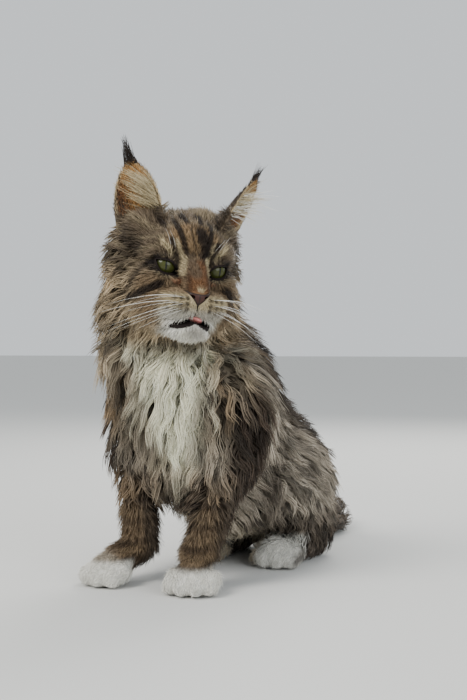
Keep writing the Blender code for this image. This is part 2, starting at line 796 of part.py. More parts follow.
def eye(side):
    """The front two thirds of the eyeball; the cut back lies hidden in the socket."""
    middle, look, out, up = eye_frame(side)
    ball = ball_object("eye", middle, np.full(3, EYE_RADIUS), axes=(out, up, look))
    shape = bmesh.new()
    shape.from_mesh(ball.data)
    everything = shape.verts[:] + shape.edges[:] + shape.faces[:]
    back = Vector(middle - look * EYE_RADIUS * 0.3)
    cut = bmesh.ops.bisect_plane(shape, geom=everything, plane_co=back, plane_no=Vector(-look), clear_outer=True)
    bmesh.ops.contextual_create(shape, geom=[g for g in cut["geom_cut"] if isinstance(g, bmesh.types.BMEdge)])
    bmesh.ops.recalc_face_normals(shape, faces=shape.faces)
    shape.to_mesh(ball.data)
    shape.free()
    return ball


def face_front(left, up):
    """How far forward the plain face lies at a place given sideways and up."""
    forward = 0.100
    for _ in range(60):
        forward -= 0.9 * float(distance(on_head(forward, left, up)[None], CORE_REACH)[0])
    return forward


# Half of the mouth's opening, from the middle to the corner: sideways, upper edge, lower edge
MOUTH_EDGE = [
    (0.000, -0.0468, -0.0555),
    (0.008, -0.0490, -0.0595),
    (0.016, -0.0532, -0.0620),
    (0.024, -0.0580, -0.0605),
]


def mouth_opening():
    """Crescent under the upper lip; the cut is slanted and ends inside the head."""
    outline = [(side * s, top) for side, s, top in [(-1, s, top) for s, top, _ in MOUTH_EDGE[::-1]]]
    outline += [(s, top) for s, top, _ in MOUTH_EDGE[1:]]
    outline += [(s, low) for s, _, low in MOUTH_EDGE[::-1]]
    outline += [(-s, low) for s, _, low in MOUTH_EDGE[1:]]
    lip = face_front(0.0, -0.050)

    def near(left, up):
        return on_head(lip - MOUTH_DEPTH - 0.3 * abs(left), left * 0.8, up * 0.3 - 0.036)

    def far(left, up):
        return on_head(lip + 0.012, left, up)

    return prism("mouth", outline, near, far)


def philtrum():
    """Thin upright groove from the nose to the upper lip."""
    outline = [(-0.0007, -0.0372), (0.0007, -0.0372), (0.0007, -0.0480), (-0.0007, -0.0480)]
    valley = face_front(0.0, -0.043)
    return prism(
        "philtrum",
        outline,
        lambda left, up: on_head(valley - 0.0015, left * 0.3, up),
        lambda left, up: on_head(valley + 0.020, left * 1.5, up),
    )


def tongue():
    """Tip of the tongue, resting just under the upper lip, a little to the left of the middle."""
    lip = face_front(0.0, -0.050)
    tip = on_head(lip - 0.0015, 0.0035, -0.0515)
    droop = math.radians(14.0)
    axes = np.array([[1, 0, 0], [0, math.cos(droop), -math.sin(droop)], [0, math.sin(droop), math.cos(droop)]]) @ HEAD
    return ball_object("tongue", tip - HEAD[0] * 0.010, (0.0130, 0.0072, 0.0034), axes=axes, segments=12, rings=8)


NOSE_TOP, NOSE_POINT, NOSE_HALF_WIDTH, NOSE_BACK = -0.0258, -0.0385, 0.0120, 0.060


def nose_planes():
    """The leather is a wedge with a flat top edge and two sides that meet below."""
    planes = [
        (on_head(0.075, 0, NOSE_TOP), np.array([-0.35, 0, -1.0]) @ HEAD),
        (on_head(NOSE_BACK, 0, 0), HEAD[0]),
    ]
    for side in (1, -1):
        slope = np.array([0.0, -side * (NOSE_TOP - NOSE_POINT), NOSE_HALF_WIDTH]) @ HEAD
        planes.append((on_head(0.070, 0, NOSE_POINT), slope))
    return [plane(point, towards) for point, towards in planes]


def face(head):
    """Adds the lids and cuts the sockets, mouth, nose and nostrils; returns the small nodes of the face."""
    nodes = {}
    made = [lids(side) for side in (1, -1)]
    combine(head, [lid for lid, _, _ in made], "UNION")
    combine(head, [opening for _, _, opening in made], "DIFFERENCE")
    combine(head, [socket for _, socket, _ in made], "DIFFERENCE")
    nodes["nose"] = copy_of(head, "nose")
    combine(nodes["nose"], [region("nose_block", nose_planes())], "INTERSECT")
    combine(head, [region("nose_gap", nose_planes(), CUT)], "DIFFERENCE")
    pits = []
    for side in (1, -1):
        pit = on_head(0.0750, 0.0074 * side, -0.0300)
        axes = np.array([[0.8, 0.6 * side, 0.0], [-0.6 * side, 0.8, 0.0], [0.0, 0.0, 1.0]]) @ HEAD
        pits.append(ball_object("nostril", pit, NOSTRIL, axes=axes, segments=10, rings=6))
    combine(nodes["nose"], pits, "DIFFERENCE")
    combine(head, [mouth_opening()], "DIFFERENCE")
    combine(head, [philtrum()], "DIFFERENCE")
    nodes["tongue"] = tongue()
    combine(head, [grown(nodes["tongue"], CUT)], "DIFFERENCE")
    for side, word in ((1, "left"), (-1, "right")):
        nodes["eye_" + word] = eye(side)
        nodes["eye_" + word].name = "eye_" + word
    return nodes


# Middle of the root, tip and end of the tuft of each ear, in the head's directions, the way that it opens and
# how far the pale furnishings reach across it
EARS = {
    1: {
        "root": (0.000, 0.0540, 0.050),
        "tip": (-0.006, 0.0800, 0.104),
        "tuft": (-0.010, 0.0865, 0.122),
        "opens": 60.0,
        "furnishings": 0.040,
    },
    -1: {
        "root": (0.002, -0.0485, 0.048),
        "tip": (-0.014, -0.0590, 0.1045),
        "tuft": (-0.020, -0.0690, 0.132),
        "opens": 38.0,
        "furnishings": 0.026,
    },
}
EAR_HALF_WIDTH = 0.0265
EAR_CUP = 0.015
EAR_THICKNESS = 0.0026
EAR_ROWS = np.array([-0.30, -0.10, 0.10, 0.30, 0.48, 0.64, 0.78, 0.89, 0.96, 0.99])
EAR_COLUMNS = np.linspace(-1.0, 1.0, 7)


def ear_frame(side):
    """Root, axis with the ear's length, outward direction across it and the direction that it opens to."""
    root, tip = on_head(*EARS[side]["root"]), on_head(*EARS[side]["tip"])
    axis = tip - root
    opens = math.radians(EARS[side]["opens"])
    facing = np.array([math.cos(opens), math.sin(opens) * side, 0.0]) @ HEAD
    facing = unit(facing - unit(axis) * (facing @ unit(axis)))
    return root, axis, np.cross(unit(axis), facing) * side, facing


def ear_point(frame, rise, across, back=0.0):
    """A place on the ear's cup, rise along its length and across it, moved back by part of its thickness."""
    root, axis, outward_way, facing = frame
    width = EAR_HALF_WIDTH * max(1.0 - max(rise, 0.0) ** 2.2, 0.0) ** 0.6
    cup = EAR_CUP * (1.0 - 0.75 * max(rise, 0.0)) * (width / EAR_HALF_WIDTH)
    bend = 1.0 - across**2
    thick = back * EAR_THICKNESS * (0.45 + 0.55 * bend)
    return root + axis * rise + outward_way * width * across - facing * (cup * bend + thick)


def ear(side, head):
    """A cupped leaf with a thin rim, rooted in the skull and cut off 0.3 mm above it."""
    frame = ear_frame(side)
    shape = bmesh.new()
    grids = []
    for back in (0.0, 1.0):
        grids.append([[shape.verts.new(ear_point(frame, r, a, back)) for a in EAR_COLUMNS] for r in EAR_ROWS])
    rows, columns = len(EAR_ROWS), len(EAR_COLUMNS)
    for grid in grids:
        for i in range(rows - 1):
            for k in range(columns - 1):
                shape.faces.new((grid[i][k], grid[i][k + 1], grid[i + 1][k + 1], grid[i + 1][k]))
    rim = [(i, 0) for i in range(rows)] + [(rows - 1, k) for k in range(1, columns)]
    rim += [(i, columns - 1) for i in range(rows - 2, -1, -1)] + [(0, k) for k in range(columns - 2, 0, -1)]
    for here, there in zip(rim, rim[1:] + rim[:1]):
        front, behind = ([grid[i][k] for i, k in (here, there)] for grid in grids)
        shape.faces.new((front[0], front[1], behind[1], behind[0]))
    bmesh.ops.recalc_face_normals(shape, faces=shape.faces)
    mesh = bpy.data.meshes.new("ear")
    shape.to_mesh(mesh)
    shape.free()
    made = link("ear", mesh)
    # The exact solver leaves faces shared by three sides where locks cross
    combine(made, ear_locks(side, frame), "UNION", "MANIFOLD")
    combine(made, [grown(head, CUT)], "DIFFERENCE", "MANIFOLD")
    return largest_piece(made)


def ear_locks(side, frame):
    """The brush of black hairs on the rounded top and the pale furnishings that cross the opening."""
    axis, outward_way, facing = frame[1:]
    end = on_head(*EARS[side]["tuft"])
    locks = []
    for share in (-0.9, 0.0, 0.9):
        root = ear_point(frame, 0.88 - 0.05 * abs(share), 0.45 * share, 0.5)
        tip = end - (end - root) * 0.24 * abs(share) + outward_way * 0.0035 * share
        locks.append(strand(root, tip, facing, 0.0038, 0.0022, axis * 0.05))
    for k, rise in enumerate((0.08, 0.28)):
        root = ear_point(frame, rise, -0.35 + 0.15 * k, 0.5)
        tip = root + outward_way * (EARS[side]["furnishings"] - 0.004 * k) + axis * 0.34 + facing * 0.018
        locks.append(strand(root, tip, facing, 0.0055, 0.0024, facing * 0.012))
    return locks


def strand(root, tip, facing, half, thick, bow):
    """One flat lock from a root to a tip, bowed to one side half way."""
    shares = np.linspace(0.0, 1.0, 5)[:, None]
    path = root + (tip - root) * shares + bow * 4 * shares * (1 - shares)
    up = unit(facing - unit(tip - root) * (facing @ unit(tip - root)))
    across = unit(np.cross(up, tip - root))
    taper = np.array(LOCK_TAPER)
    return lock_mesh(path, [across] * 4, [up] * 4, half * taper, thick * taper)


def main():
    for old in list(bpy.data.objects):
        bpy.data.objects.remove(old)
    body = blended_body(CORE_REACH)
    nodes = part_body(body)
    small = face(nodes["head"])
    for name in nodes:
        grow_locks(nodes[name], name)
    nodes["ear_left"] = ear(1, nodes["head"])
    nodes["ear_right"] = ear(-1, nodes["head"])
    nodes.update(small)
    for name, node in nodes.items():
        node.name = name
        dress(node, look_of(name))


main()
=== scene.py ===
# %% [markdown]
# # A sitting long-haired cat
# This lesson dresses the solid model of a sitting tabby-and-white cat. One skin stands in for all the
# nodes of flesh. Over it lie many thousand thin blades of hair, made as real mesh, so that the coat can be
# exported and seen from any side. The solids fix the size and the pose, and the same short list of
# muscle masses that shaped them shapes the skin here.

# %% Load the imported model
import math
from itertools import chain, product

import bmesh
import bpy
import numpy as np
from mathutils import Matrix, Vector
from mathutils.kdtree import KDTree


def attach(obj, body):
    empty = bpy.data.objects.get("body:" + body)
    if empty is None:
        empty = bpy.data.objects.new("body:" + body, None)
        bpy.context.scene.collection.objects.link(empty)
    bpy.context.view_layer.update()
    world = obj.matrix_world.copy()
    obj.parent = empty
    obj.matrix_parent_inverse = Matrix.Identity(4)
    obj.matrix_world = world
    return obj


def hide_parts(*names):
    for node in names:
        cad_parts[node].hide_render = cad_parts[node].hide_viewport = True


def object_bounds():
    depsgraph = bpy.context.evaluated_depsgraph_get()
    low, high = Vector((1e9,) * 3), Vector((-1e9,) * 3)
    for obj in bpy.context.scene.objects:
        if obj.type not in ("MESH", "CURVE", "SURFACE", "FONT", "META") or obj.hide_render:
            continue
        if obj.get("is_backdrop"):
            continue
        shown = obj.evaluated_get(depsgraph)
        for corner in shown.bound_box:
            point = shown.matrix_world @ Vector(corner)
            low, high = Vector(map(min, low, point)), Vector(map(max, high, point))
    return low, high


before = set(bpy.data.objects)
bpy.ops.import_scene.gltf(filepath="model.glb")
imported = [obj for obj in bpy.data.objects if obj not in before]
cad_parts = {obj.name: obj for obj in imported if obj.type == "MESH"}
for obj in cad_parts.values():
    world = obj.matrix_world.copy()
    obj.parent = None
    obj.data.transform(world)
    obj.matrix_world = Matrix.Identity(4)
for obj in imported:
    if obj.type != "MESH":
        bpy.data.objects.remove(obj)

CAD_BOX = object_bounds()
print("solid model, lowest and highest corners:", CAD_BOX)

# %% [markdown]
# ## Camera, floor and light
# The photograph was taken from about the height of the cat's chest, with a slightly long lens. A level
# camera keeps the upright lines upright. Three broad, soft lights and a pale floor show the coat's relief
# without hard shadows: a large one high on the left, a weaker one on the right and one behind for the rim.

# %% Camera
CAMERA_AT = (0.6496, -1.3054, 0.247)
CAMERA_TURN = 29.0
LENS = 60.0

camera = bpy.data.objects.new("camera", bpy.data.cameras.new("camera"))
camera.data.lens = LENS
camera.data.sensor_width = 36.0
camera.location = CAMERA_AT
camera.rotation_euler = (math.radians(90), 0.0, math.radians(CAMERA_TURN))
bpy.context.scene.collection.objects.link(camera)
bpy.context.scene.camera = camera
print("camera stands", round(math.dist(CAMERA_AT, (0, -0.2, 0.247)), 2), "m away")

# %% Floor
def link(name, mesh):
    thing = bpy.data.objects.new(name, mesh)
    bpy.context.scene.collection.objects.link(thing)
    return thing


def from_shape(name, shape):
    """A new object in the scene with the faces of a bmesh."""
    mesh = bpy.data.meshes.new(name)
    shape.to_mesh(mesh)
    shape.free()
    return link(name, mesh)


def plain_material(name, colour, roughness):
    made = bpy.data.materials.new(name)
    made.use_nodes = True
    shader = made.node_tree.nodes["Principled BSDF"]
    shader.inputs["Base Color"].default_value = (*colour, 1.0)
    shader.inputs["Roughness"].default_value = roughness
    return made


FLOOR_HALF = 40.0
FLOOR_GAP = 0.0003  # the floor lies this far below the paws, so that the two never flicker

shape = bmesh.new()
bmesh.ops.create_grid(shape, x_segments=1, y_segments=1, size=FLOOR_HALF)
floor = from_shape("floor", shape)
floor.location = (0.0, 0.0, CAD_BOX[0][2] - FLOOR_GAP)
floor.data.materials.append(plain_material("pale floor", (0.62, 0.62, 0.60), 0.9))
floor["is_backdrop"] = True

# %% Lights
def soft_light(name, place, size, watts, colour):
    lamp = bpy.data.lights.new(name, "AREA")
    lamp.shape = "DISK"
    lamp.size = size
    lamp.energy = watts
    lamp.color = colour
    thing = bpy.data.objects.new(name, lamp)
    thing.location = place
    aim = Vector((0.0, -0.15, 0.22)) - Vector(place)
    thing.rotation_euler = aim.to_track_quat("-Z", "Y").to_euler()
    bpy.context.scene.collection.objects.link(thing)


soft_light("key light", (-0.7, -2.0, 1.9), 1.3, 58.0, (1.0, 0.97, 0.92))
soft_light("fill light", (2.1, -1.2, 1.0), 1.6, 24.0, (0.94, 0.97, 1.0))
soft_light("rim light", (-0.3, 1.7, 1.7), 1.4, 40.0, (1.0, 0.98, 0.94))

world = bpy.data.worlds.new("pale room")
world.use_nodes = True
world.node_tree.nodes["Background"].inputs["Color"].default_value = (0.86, 0.90, 0.93, 1.0)
world.node_tree.nodes["Background"].inputs["Strength"].default_value = 0.95
bpy.context.scene.world = world

# %% [markdown]
# ## The flesh as a field
# A cat's body is a set of rounded masses that flow into each other. Each mass here is an ellipsoid or a
# tapered bar. A smooth minimum blends their distances, so one formula says how far any point lies outside
# the body. Every mass also carries the depth of its coat, the length of its hair and the way that it lies.
# With the coat counted at none, the formula gives the skin. Counted in full, it gives the tips.

# %% Directions of the head
HEAD_AT = (0.0064, -0.2639, 0.3322)  # middle of the skull, level with the eyes
HEAD_TURN, HEAD_NOD, HEAD_TILT = 50.0, -3.0, 5.0


def unit(vector):
    vector = np.asarray(vector, float)
    return vector / np.linalg.norm(vector)


def head_axes():
    """Forward, left and up of the turned, nodding and tilted head, as rows."""
    turn, nod, tilt = (math.radians(a) for a in (HEAD_TURN, HEAD_NOD, HEAD_TILT))
    level = np.array([math.sin(turn), -math.cos(turn), 0.0])
    left = np.array([math.cos(turn), math.sin(turn), 0.0])
    up = np.array([0.0, 0.0, 1.0])
    forward = level * math.cos(nod) + up * math.sin(nod)
    up = up * math.cos(nod) - level * math.sin(nod)
    tilted_left = left * math.cos(tilt) - up * math.sin(tilt)
    tilted_up = up * math.cos(tilt) + left * math.sin(tilt)
    return np.array([forward, tilted_left, tilted_up])


HEAD = head_axes()


def on_head(forward, left, up):
    """A place given in the head's own directions, as a point of the model."""
    return np.array(HEAD_AT) + np.array([forward, left, up]) @ HEAD


def in_head(points):
    """Points of the model in the head's own directions."""
    return (points - np.array(HEAD_AT)) @ HEAD.T


# %% Masses
DOWN_BACK = (0.0, 0.50, -0.87)
BACKWARD = (0.0, 0.75, -0.66)


class Ball:
    """An ellipsoid with its own axes; coat is its depth, hair the length of its strands, lie their way."""

    def __init__(self, at, radii, coat, blend, hair, lie, axes=None, lean=0.0):
        self.at, self.radii = np.asarray(at, float), np.asarray(radii, float)
        self.coat, self.blend, self.hair, self.lie = coat, blend, hair, unit(lie)
        if axes is None:
            c, s = math.cos(math.radians(lean)), math.sin(math.radians(lean))
            axes = np.array([[1, 0, 0], [0, c, s], [0, -s, c]])
        self.axes = axes

    def distance(self, points, reach):
        radii = self.radii + self.coat * np.reshape(reach, (-1, 1))
        local = (points - self.at) @ self.axes.T
        near = np.linalg.norm(local / radii, axis=1)
        steep = np.maximum(np.linalg.norm(local / radii**2, axis=1), 1e-9)
        return near * (near - 1.0) / steep

    def beads(self):
        return [(self.at, self.radii, self.axes)]


class Limb:
    """A rounded bar from one end to the other, with a radius at each end."""

    def __init__(self, start, end, radii, coat, blend, hair, lie):
        self.start, self.end, self.radii = np.asarray(start, float), np.asarray(end, float), radii
        self.coat, self.blend, self.hair, self.lie = coat, blend, hair, unit(lie)

    def distance(self, points, reach):
        along = self.end - self.start
        share = np.clip(((points - self.start) @ along) / (along @ along), 0.0, 1.0)
        nearest = self.start + share[:, None] * along
        radius = self.radii[0] + share * (self.radii[1] - self.radii[0]) + self.coat * np.ravel(reach)
        return np.linalg.norm(points - nearest, axis=1) - radius

    def beads(self):
        count = max(2, math.ceil(np.linalg.norm(self.end - self.start) / (0.5 * min(self.radii))))
        shares = np.linspace(0.0, 1.0, count)
        radii = self.radii[0] + shares * (self.radii[1] - self.radii[0])
        way = self.end - self.start
        return [(self.start + t * way, np.full(3, r), np.eye(3)) for t, r in zip(shares, radii)]


# %% The head's masses
BRIDGE = ((0.036, 0.0, 0.012), (0.063, 0.0, -0.020))  # the bridge of the nose, from brow to leather


def head_masses():
    """Skull, cheeks, brow, nose bridge, whisker pads, jaw, chin and the ruff behind the cheeks."""

    def ball(at, radii, coat, hair, blend=0.012, lie=(-1.0, 0.0, 0.1)):
        return Ball(on_head(*at), radii, coat, blend, hair, np.array(lie) @ HEAD, axes=HEAD)

    def bar(start, end, radii, coat, hair, blend, lie):
        return Limb(on_head(*start), on_head(*end), radii, coat, blend, hair, np.array(lie) @ HEAD)

    masses = [
        ball((-0.010, 0.0, 0.020), (0.050, 0.046, 0.038), 0.007, 0.0105),
        ball((0.026, 0.0, 0.022), (0.024, 0.034, 0.022), 0.005, 0.0062, lie=(-0.8, 0.0, 0.6)),
        ball((-0.012, 0.024, 0.032), (0.030, 0.022, 0.030), 0.009, 0.0115),
        ball((0.010, 0.0, -0.030), (0.040, 0.042, 0.034), 0.008, 0.016, lie=(-0.6, 0.0, -0.8)),
        bar(*BRIDGE, (0.0140, 0.0115), 0.0015, 0.0030, 0.010, (-0.8, 0.0, 0.6)),
        ball((0.0670, 0.0, -0.0285), (0.0110, 0.0128, 0.0085), 0.0005, 0.0018, 0.004),
        ball((0.056, 0.0, -0.0585), (0.0155, 0.017, 0.0095), 0.003, 0.0052, 0.008, (-0.3, 0.0, -1.0)),
    ]
    for side in (1, -1):
        swept_back = (-0.75, 0.35 * side, -0.55)
        outwards = (-0.6, 0.7 * side, -0.35)
        raised = (-0.8, 0.4 * side, 0.3)
        masses += [
            ball((-0.006, 0.040 * side, 0.032), (0.024, 0.018, 0.020), 0.005, 0.012),
            ball((0.004, 0.028 * side, -0.020), (0.032, 0.025, 0.028), 0.012, 0.022, lie=swept_back),
            ball((0.022, 0.030 * side, 0.016), (0.022, 0.017, 0.013), 0.003, 0.0052, lie=raised),
            ball((0.034, 0.031 * side, -0.016), (0.018, 0.015, 0.012), 0.003, 0.0048, lie=swept_back),
            ball((0.058, 0.014 * side, -0.037), (0.018, 0.018, 0.0135), 0.003, 0.0038, 0.006, outwards),
            ball((0.034, 0.025 * side, -0.038), (0.020, 0.018, 0.017), 0.004, 0.0080, lie=swept_back),
            ball((-0.022, 0.050 * side, 0.006), (0.026, 0.015, 0.026), 0.017, 0.036, lie=swept_back),
            bar(
                (0.012, 0.026 * side, -0.042),
                (0.048, 0.008 * side, -0.055),
                (0.021, 0.012),
                0.005,
                0.014,
                0.012,
                (-0.7, 0.25 * side, -0.7),
            ),
        ]
    # the turned head pushes its ruff up on one side and lets it hang on the other
    return masses + [
        ball((-0.036, 0.042, -0.034), (0.028, 0.016, 0.024), 0.025, 0.050, 0.02, (-0.45, 0.35, -0.80)),
        ball((-0.036, -0.042, -0.052), (0.026, 0.014, 0.030), 0.024, 0.050, 0.02, (-0.45, -0.35, -0.80)),
    ]


# %% The masses of the trunk
def torso_masses():
    """Rump, loin, ribs, neck, chest and belly, and a shoulder on each side."""
    masses = [
        Ball((0, -0.008, 0.0705), (0.050, 0.052, 0.067), 0.018, 0.03, 0.045, DOWN_BACK, lean=-15),
        Ball((0, -0.080, 0.122), (0.050, 0.074, 0.064), 0.021, 0.04, 0.048, BACKWARD, lean=-35),
        Ball((0, -0.165, 0.178), (0.050, 0.064, 0.080), 0.022, 0.04, 0.048, DOWN_BACK, lean=-20),
        Limb((0, -0.200, 0.220), (-0.020, -0.236, 0.290), (0.050, 0.042), 0.024, 0.03, 0.056, (0, 0.25, -1)),
        Ball((0.004, -0.244, 0.192), (0.044, 0.034, 0.052), 0.034, 0.03, 0.064, (0, 0.1, -1), lean=-8),
        Ball((-0.058, -0.256, 0.236), (0.018, 0.026, 0.030), 0.026, 0.02, 0.058, (-0.2, 0.15, -1)),
        Ball((-0.004, -0.205, 0.116), (0.028, 0.046, 0.028), 0.026, 0.02, 0.045, DOWN_BACK),
        Ball((0.0, -0.130, 0.082), (0.036, 0.050, 0.030), 0.026, 0.03, 0.045, BACKWARD),
    ]
    for side in (1, -1):
        at = (0.050 * side, -0.222, 0.182)
        masses.append(Ball(at, (0.026, 0.038, 0.055), 0.026, 0.02, 0.054, (0, 0.35, -1), lean=10))
    return masses


# %% The masses of legs and tail
FORELEGS = {
    1: {
        "shoulder": (0.052, -0.225, 0.185),
        "elbow": (0.048, -0.228, 0.138),
        "wrist": (0.032, -0.264, 0.036),
        "turn": 17,
    },
    -1: {
        "shoulder": (-0.058, -0.225, 0.185),
        "elbow": (-0.062, -0.234, 0.138),
        "wrist": (-0.050, -0.252, 0.036),
        "turn": -17,
    },
}
FOREPAW_LENGTH = {1: 0.058, -1: 0.073}  # from the wrist to the front of the toes
TOE_SPREAD = (-0.0190, -0.0068, 0.0068, 0.0190)
TOE_REACH = (-0.007, 0.0, 0.0, -0.007)
TOE_RADIUS = 0.0092
PAW_HAIR = 0.0065


def toes(front_middle, forward, coat):
    """Four short bars side by side, the middle two reaching furthest."""
    side = np.array([-forward[1], forward[0], 0.0])
    made = []
    for spread, reach in zip(TOE_SPREAD, TOE_REACH):
        tip = front_middle + side * spread + forward * (reach - TOE_RADIUS - coat)
        back = tip - forward * 0.014 + np.array([0, 0, 0.005])
        made.append(Limb(back, tip, (TOE_RADIUS, TOE_RADIUS), coat, 0.004, PAW_HAIR, forward - (0, 0, 0.5)))
    return made


def foreleg_masses(side):
    leg = FORELEGS[side]
    turn = math.radians(leg["turn"])
    forward = np.array([math.sin(turn), -math.cos(turn), 0.0])
    wrist = np.array(leg["wrist"])
    length = FOREPAW_LENGTH[side]
    ground = np.array([wrist[0], wrist[1], 0.0])
    instep = ground + forward * (length - 0.032)
    lie = forward - (0, 0, 0.6)
    return [
        Limb(leg["shoulder"], leg["elbow"], (0.026, 0.020), 0.024, 0.02, 0.050, (0, 0.3, -1)),
        Limb(leg["elbow"], wrist, (0.018, 0.0135), 0.011, 0.015, 0.0155, (0, 0.3, -1)),
        Limb(wrist, instep + (0, 0, 0.017), (0.0135, 0.0165), 0.004, 0.008, 0.010, lie),
        Ball(instep + (0, 0, 0.0145), (0.022, 0.022, 0.0145), 0.004, 0.006, PAW_HAIR, lie),
    ] + toes(ground + forward * length + np.array([0, 0, 0.0095]), forward, 0.003)


HIND_HEEL = (0.050, -0.022, 0.0195)
HIND_TOE = (0.0485, -0.145, 0.0095)


def hindleg_masses(side):
    flip = np.array([side, 1.0, 1.0])
    heel, toe = HIND_HEEL * flip, HIND_TOE * flip
    ball_of_foot = toe + np.array([0, 0.032, 0.006])
    knee, hock = (0.056, -0.105, 0.078) * flip, (0.054, -0.036, 0.036) * flip
    thigh = (0.048, -0.062, 0.086) * flip
    ahead = (0, -1, -0.4)
    return [
        Ball(thigh, (0.025, 0.054, 0.052), 0.018, 0.02, 0.046, DOWN_BACK, lean=-22),
        Limb(knee, hock, (0.022, 0.016), 0.013, 0.02, 0.036, DOWN_BACK),
        Limb(heel, ball_of_foot, (0.0135, 0.0150), 0.006, 0.012, 0.013, ahead),
        Ball(ball_of_foot, (0.021, 0.022, 0.0135), 0.005, 0.006, 0.009, ahead),
    ] + toes(toe, np.array([0.0, -1.0, 0.0]), 0.004)


TAIL_LINE = [
    (0.0, 0.030, 0.053),
    (0.0, 0.068, 0.034),
    (0.0, 0.115, 0.022),
    (-0.006, 0.160, 0.019),
    (-0.026, 0.204, 0.018),
    (-0.066, 0.234, 0.017),
    (-0.114, 0.232, 0.016),
    (-0.154, 0.204, 0.015),
    (-0.176, 0.160, 0.014),
    (-0.182, 0.114, 0.013),
]


TAIL_THICK = 0.0115  # radius under the hair at the root
TAIL_TAPER = 0.0055


def tail_masses():
    masses = []
    count = len(TAIL_LINE) - 1
    for i in range(count):
        radii = [TAIL_THICK - TAIL_TAPER * (i + k) / count for k in (0, 1)]
        along = np.subtract(TAIL_LINE[i + 1], TAIL_LINE[i])
        masses.append(Limb(TAIL_LINE[i], TAIL_LINE[i + 1], radii, 0.016, 0.010, 0.042, along))
    return masses


MASSES = head_masses() + torso_masses() + tail_masses()
for which in (1, -1):
    MASSES += foreleg_masses(which) + hindleg_masses(which)
print(len(MASSES), "masses")

# %% Distance, outward direction and lie of the coat
LIE_BLEND = 0.010  # the coat's lie passes from one mass to the next over this distance
MASS_LIE = np.array([mass.lie for mass in MASSES])
MASS_HAIR = np.array([mass.hair for mass in MASSES])
MASS_COAT = np.array([mass.coat for mass in MASSES])


def soft_min(first, second, width):
    mix = np.clip(0.5 + 0.5 * (second - first) / width, 0.0, 1.0)
    return second + (first - second) * mix - width * mix * (1.0 - mix)


def distance(points, reach):
    """How far points lie outside the body, with its coat counted up to that share of its depth."""
    total = MASSES[0].distance(points, reach)
    for mass in MASSES[1:]:
        total = soft_min(total, mass.distance(points, reach), mass.blend)
    return total


def outward(points, reach, step=0.0006):
    """How far points lie outside the body, and the direction that leads away from it."""
    here = distance(points, reach)
    slope = np.stack([distance(points + np.eye(3)[k] * step, reach) - here for k in range(3)], axis=1)
    return here, slope / np.maximum(np.linalg.norm(slope, axis=1), 1e-12)[:, None]


def coat_at(points):
    """Way of the hair, its length and the coat's depth at points, blended between the masses near by."""
    gaps = np.array([mass.distance(points, 0.5) for mass in MASSES])
    share = np.exp(-np.maximum(gaps - gaps.min(axis=0), 0.0) / LIE_BLEND)
    share /= share.sum(axis=0)
    return share.T @ MASS_LIE, share.T @ MASS_HAIR, share.T @ MASS_COAT

# %% [markdown]
# ## The skin
# Under its coat the cat is one smooth skin with no seams. Beads along every mass are melted into one closed
# surface by a voxel remesh, and each vertex is then drawn onto the formula's surface. The front of the head
# is divided once more, because the lids, nose and lips need finer faces than the flanks do.

# %% Melt the masses into one skin
SKIN_VOXEL = 0.0026
FLOOR_SKIN = 0.0006  # the soles stay this far above the floor


def mesh_points(mesh):
    points = np.empty(len(mesh.vertices) * 3)
    mesh.vertices.foreach_get("co", points)
    return points.reshape(-1, 3)


def apply_modifiers(thing):
    graph = bpy.context.evaluated_depsgraph_get()
    finished = bpy.data.meshes.new_from_object(thing.evaluated_get(graph))
    thing.modifiers.clear()
    old = thing.data
    thing.data = finished
    bpy.data.meshes.remove(old)
    return thing


def settle(thing, steps):
    """Draws each vertex onto the formula's bare surface, and keeps the soles off the floor."""
    points = mesh_points(thing.data)
    for _ in range(steps):
        gap, slope = outward(points, 0.0)
        points -= np.clip(gap, -0.003, 0.003)[:, None] * slope
    points[:, 2] = np.maximum(points[:, 2], FLOOR_SKIN)
    thing.data.vertices.foreach_set("co", points.ravel())
    thing.data.update()


def placed(at, radii, axes):
    """The matrix that moves, turns and stretches a ball of radius 1."""
    turned = Matrix(np.asarray(axes).T).to_4x4()
    return Matrix.Translation(Vector(at)) @ turned @ Matrix.Diagonal((*radii, 1.0))


def melted_skin():
    shape = bmesh.new()
    for mass in MASSES:
        for bead in mass.beads():
            bmesh.ops.create_icosphere(shape, subdivisions=3, radius=1.0, matrix=placed(*bead))
    made = from_shape("skin", shape)
    remesh = made.modifiers.new("one surface", "REMESH")
    remesh.mode = "VOXEL"
    remesh.voxel_size = SKIN_VOXEL
    apply_modifiers(made)
    settle(made, 2)
    smooth = made.modifiers.new("even faces", "SMOOTH")
    smooth.iterations = 2
    apply_modifiers(made)
    settle(made, 2)
    return made


FINER_FROM, FINER_HALF_WIDTH = 0.022, 0.052
FINER_LOW, FINER_HIGH = -0.078, 0.03


def finer_face(thing):
    """One more division over the front of the head."""
    shape = bmesh.new()
    shape.from_mesh(thing.data)
    middle = np.array([face.calc_center_median() for face in shape.faces])
    at = in_head(middle)
    front = (at[:, 0] > FINER_FROM) & (np.abs(at[:, 1]) < FINER_HALF_WIDTH)
    front &= (at[:, 2] > FINER_LOW) & (at[:, 2] < FINER_HIGH)
    shape.faces.ensure_lookup_table()
    shape.edges.ensure_lookup_table()
    chosen = sorted({edge.index for i in np.flatnonzero(front) for edge in shape.faces[i].edges})
    bmesh.ops.subdivide_edges(shape, edges=[shape.edges[i] for i in chosen], cuts=1, use_grid_fill=True)
    bmesh.ops.triangulate(shape, faces=shape.faces)
    shape.to_mesh(thing.data)
    shape.free()
    settle(thing, 2)


skin = melted_skin()
finer_face(skin)
print("skin has", len(skin.data.polygons), "faces")

# %% [markdown]
# ## Ears
# A cat's ear is a thin leaf of cartilage, rolled into a cup that is open in front and rounded at the tip.
# A flat grid is bent by one formula, which gives each point of the leaf its place, and Solidify gives it a
# thickness. The foot of the leaf runs down into the skull, and a union makes the two one skin.

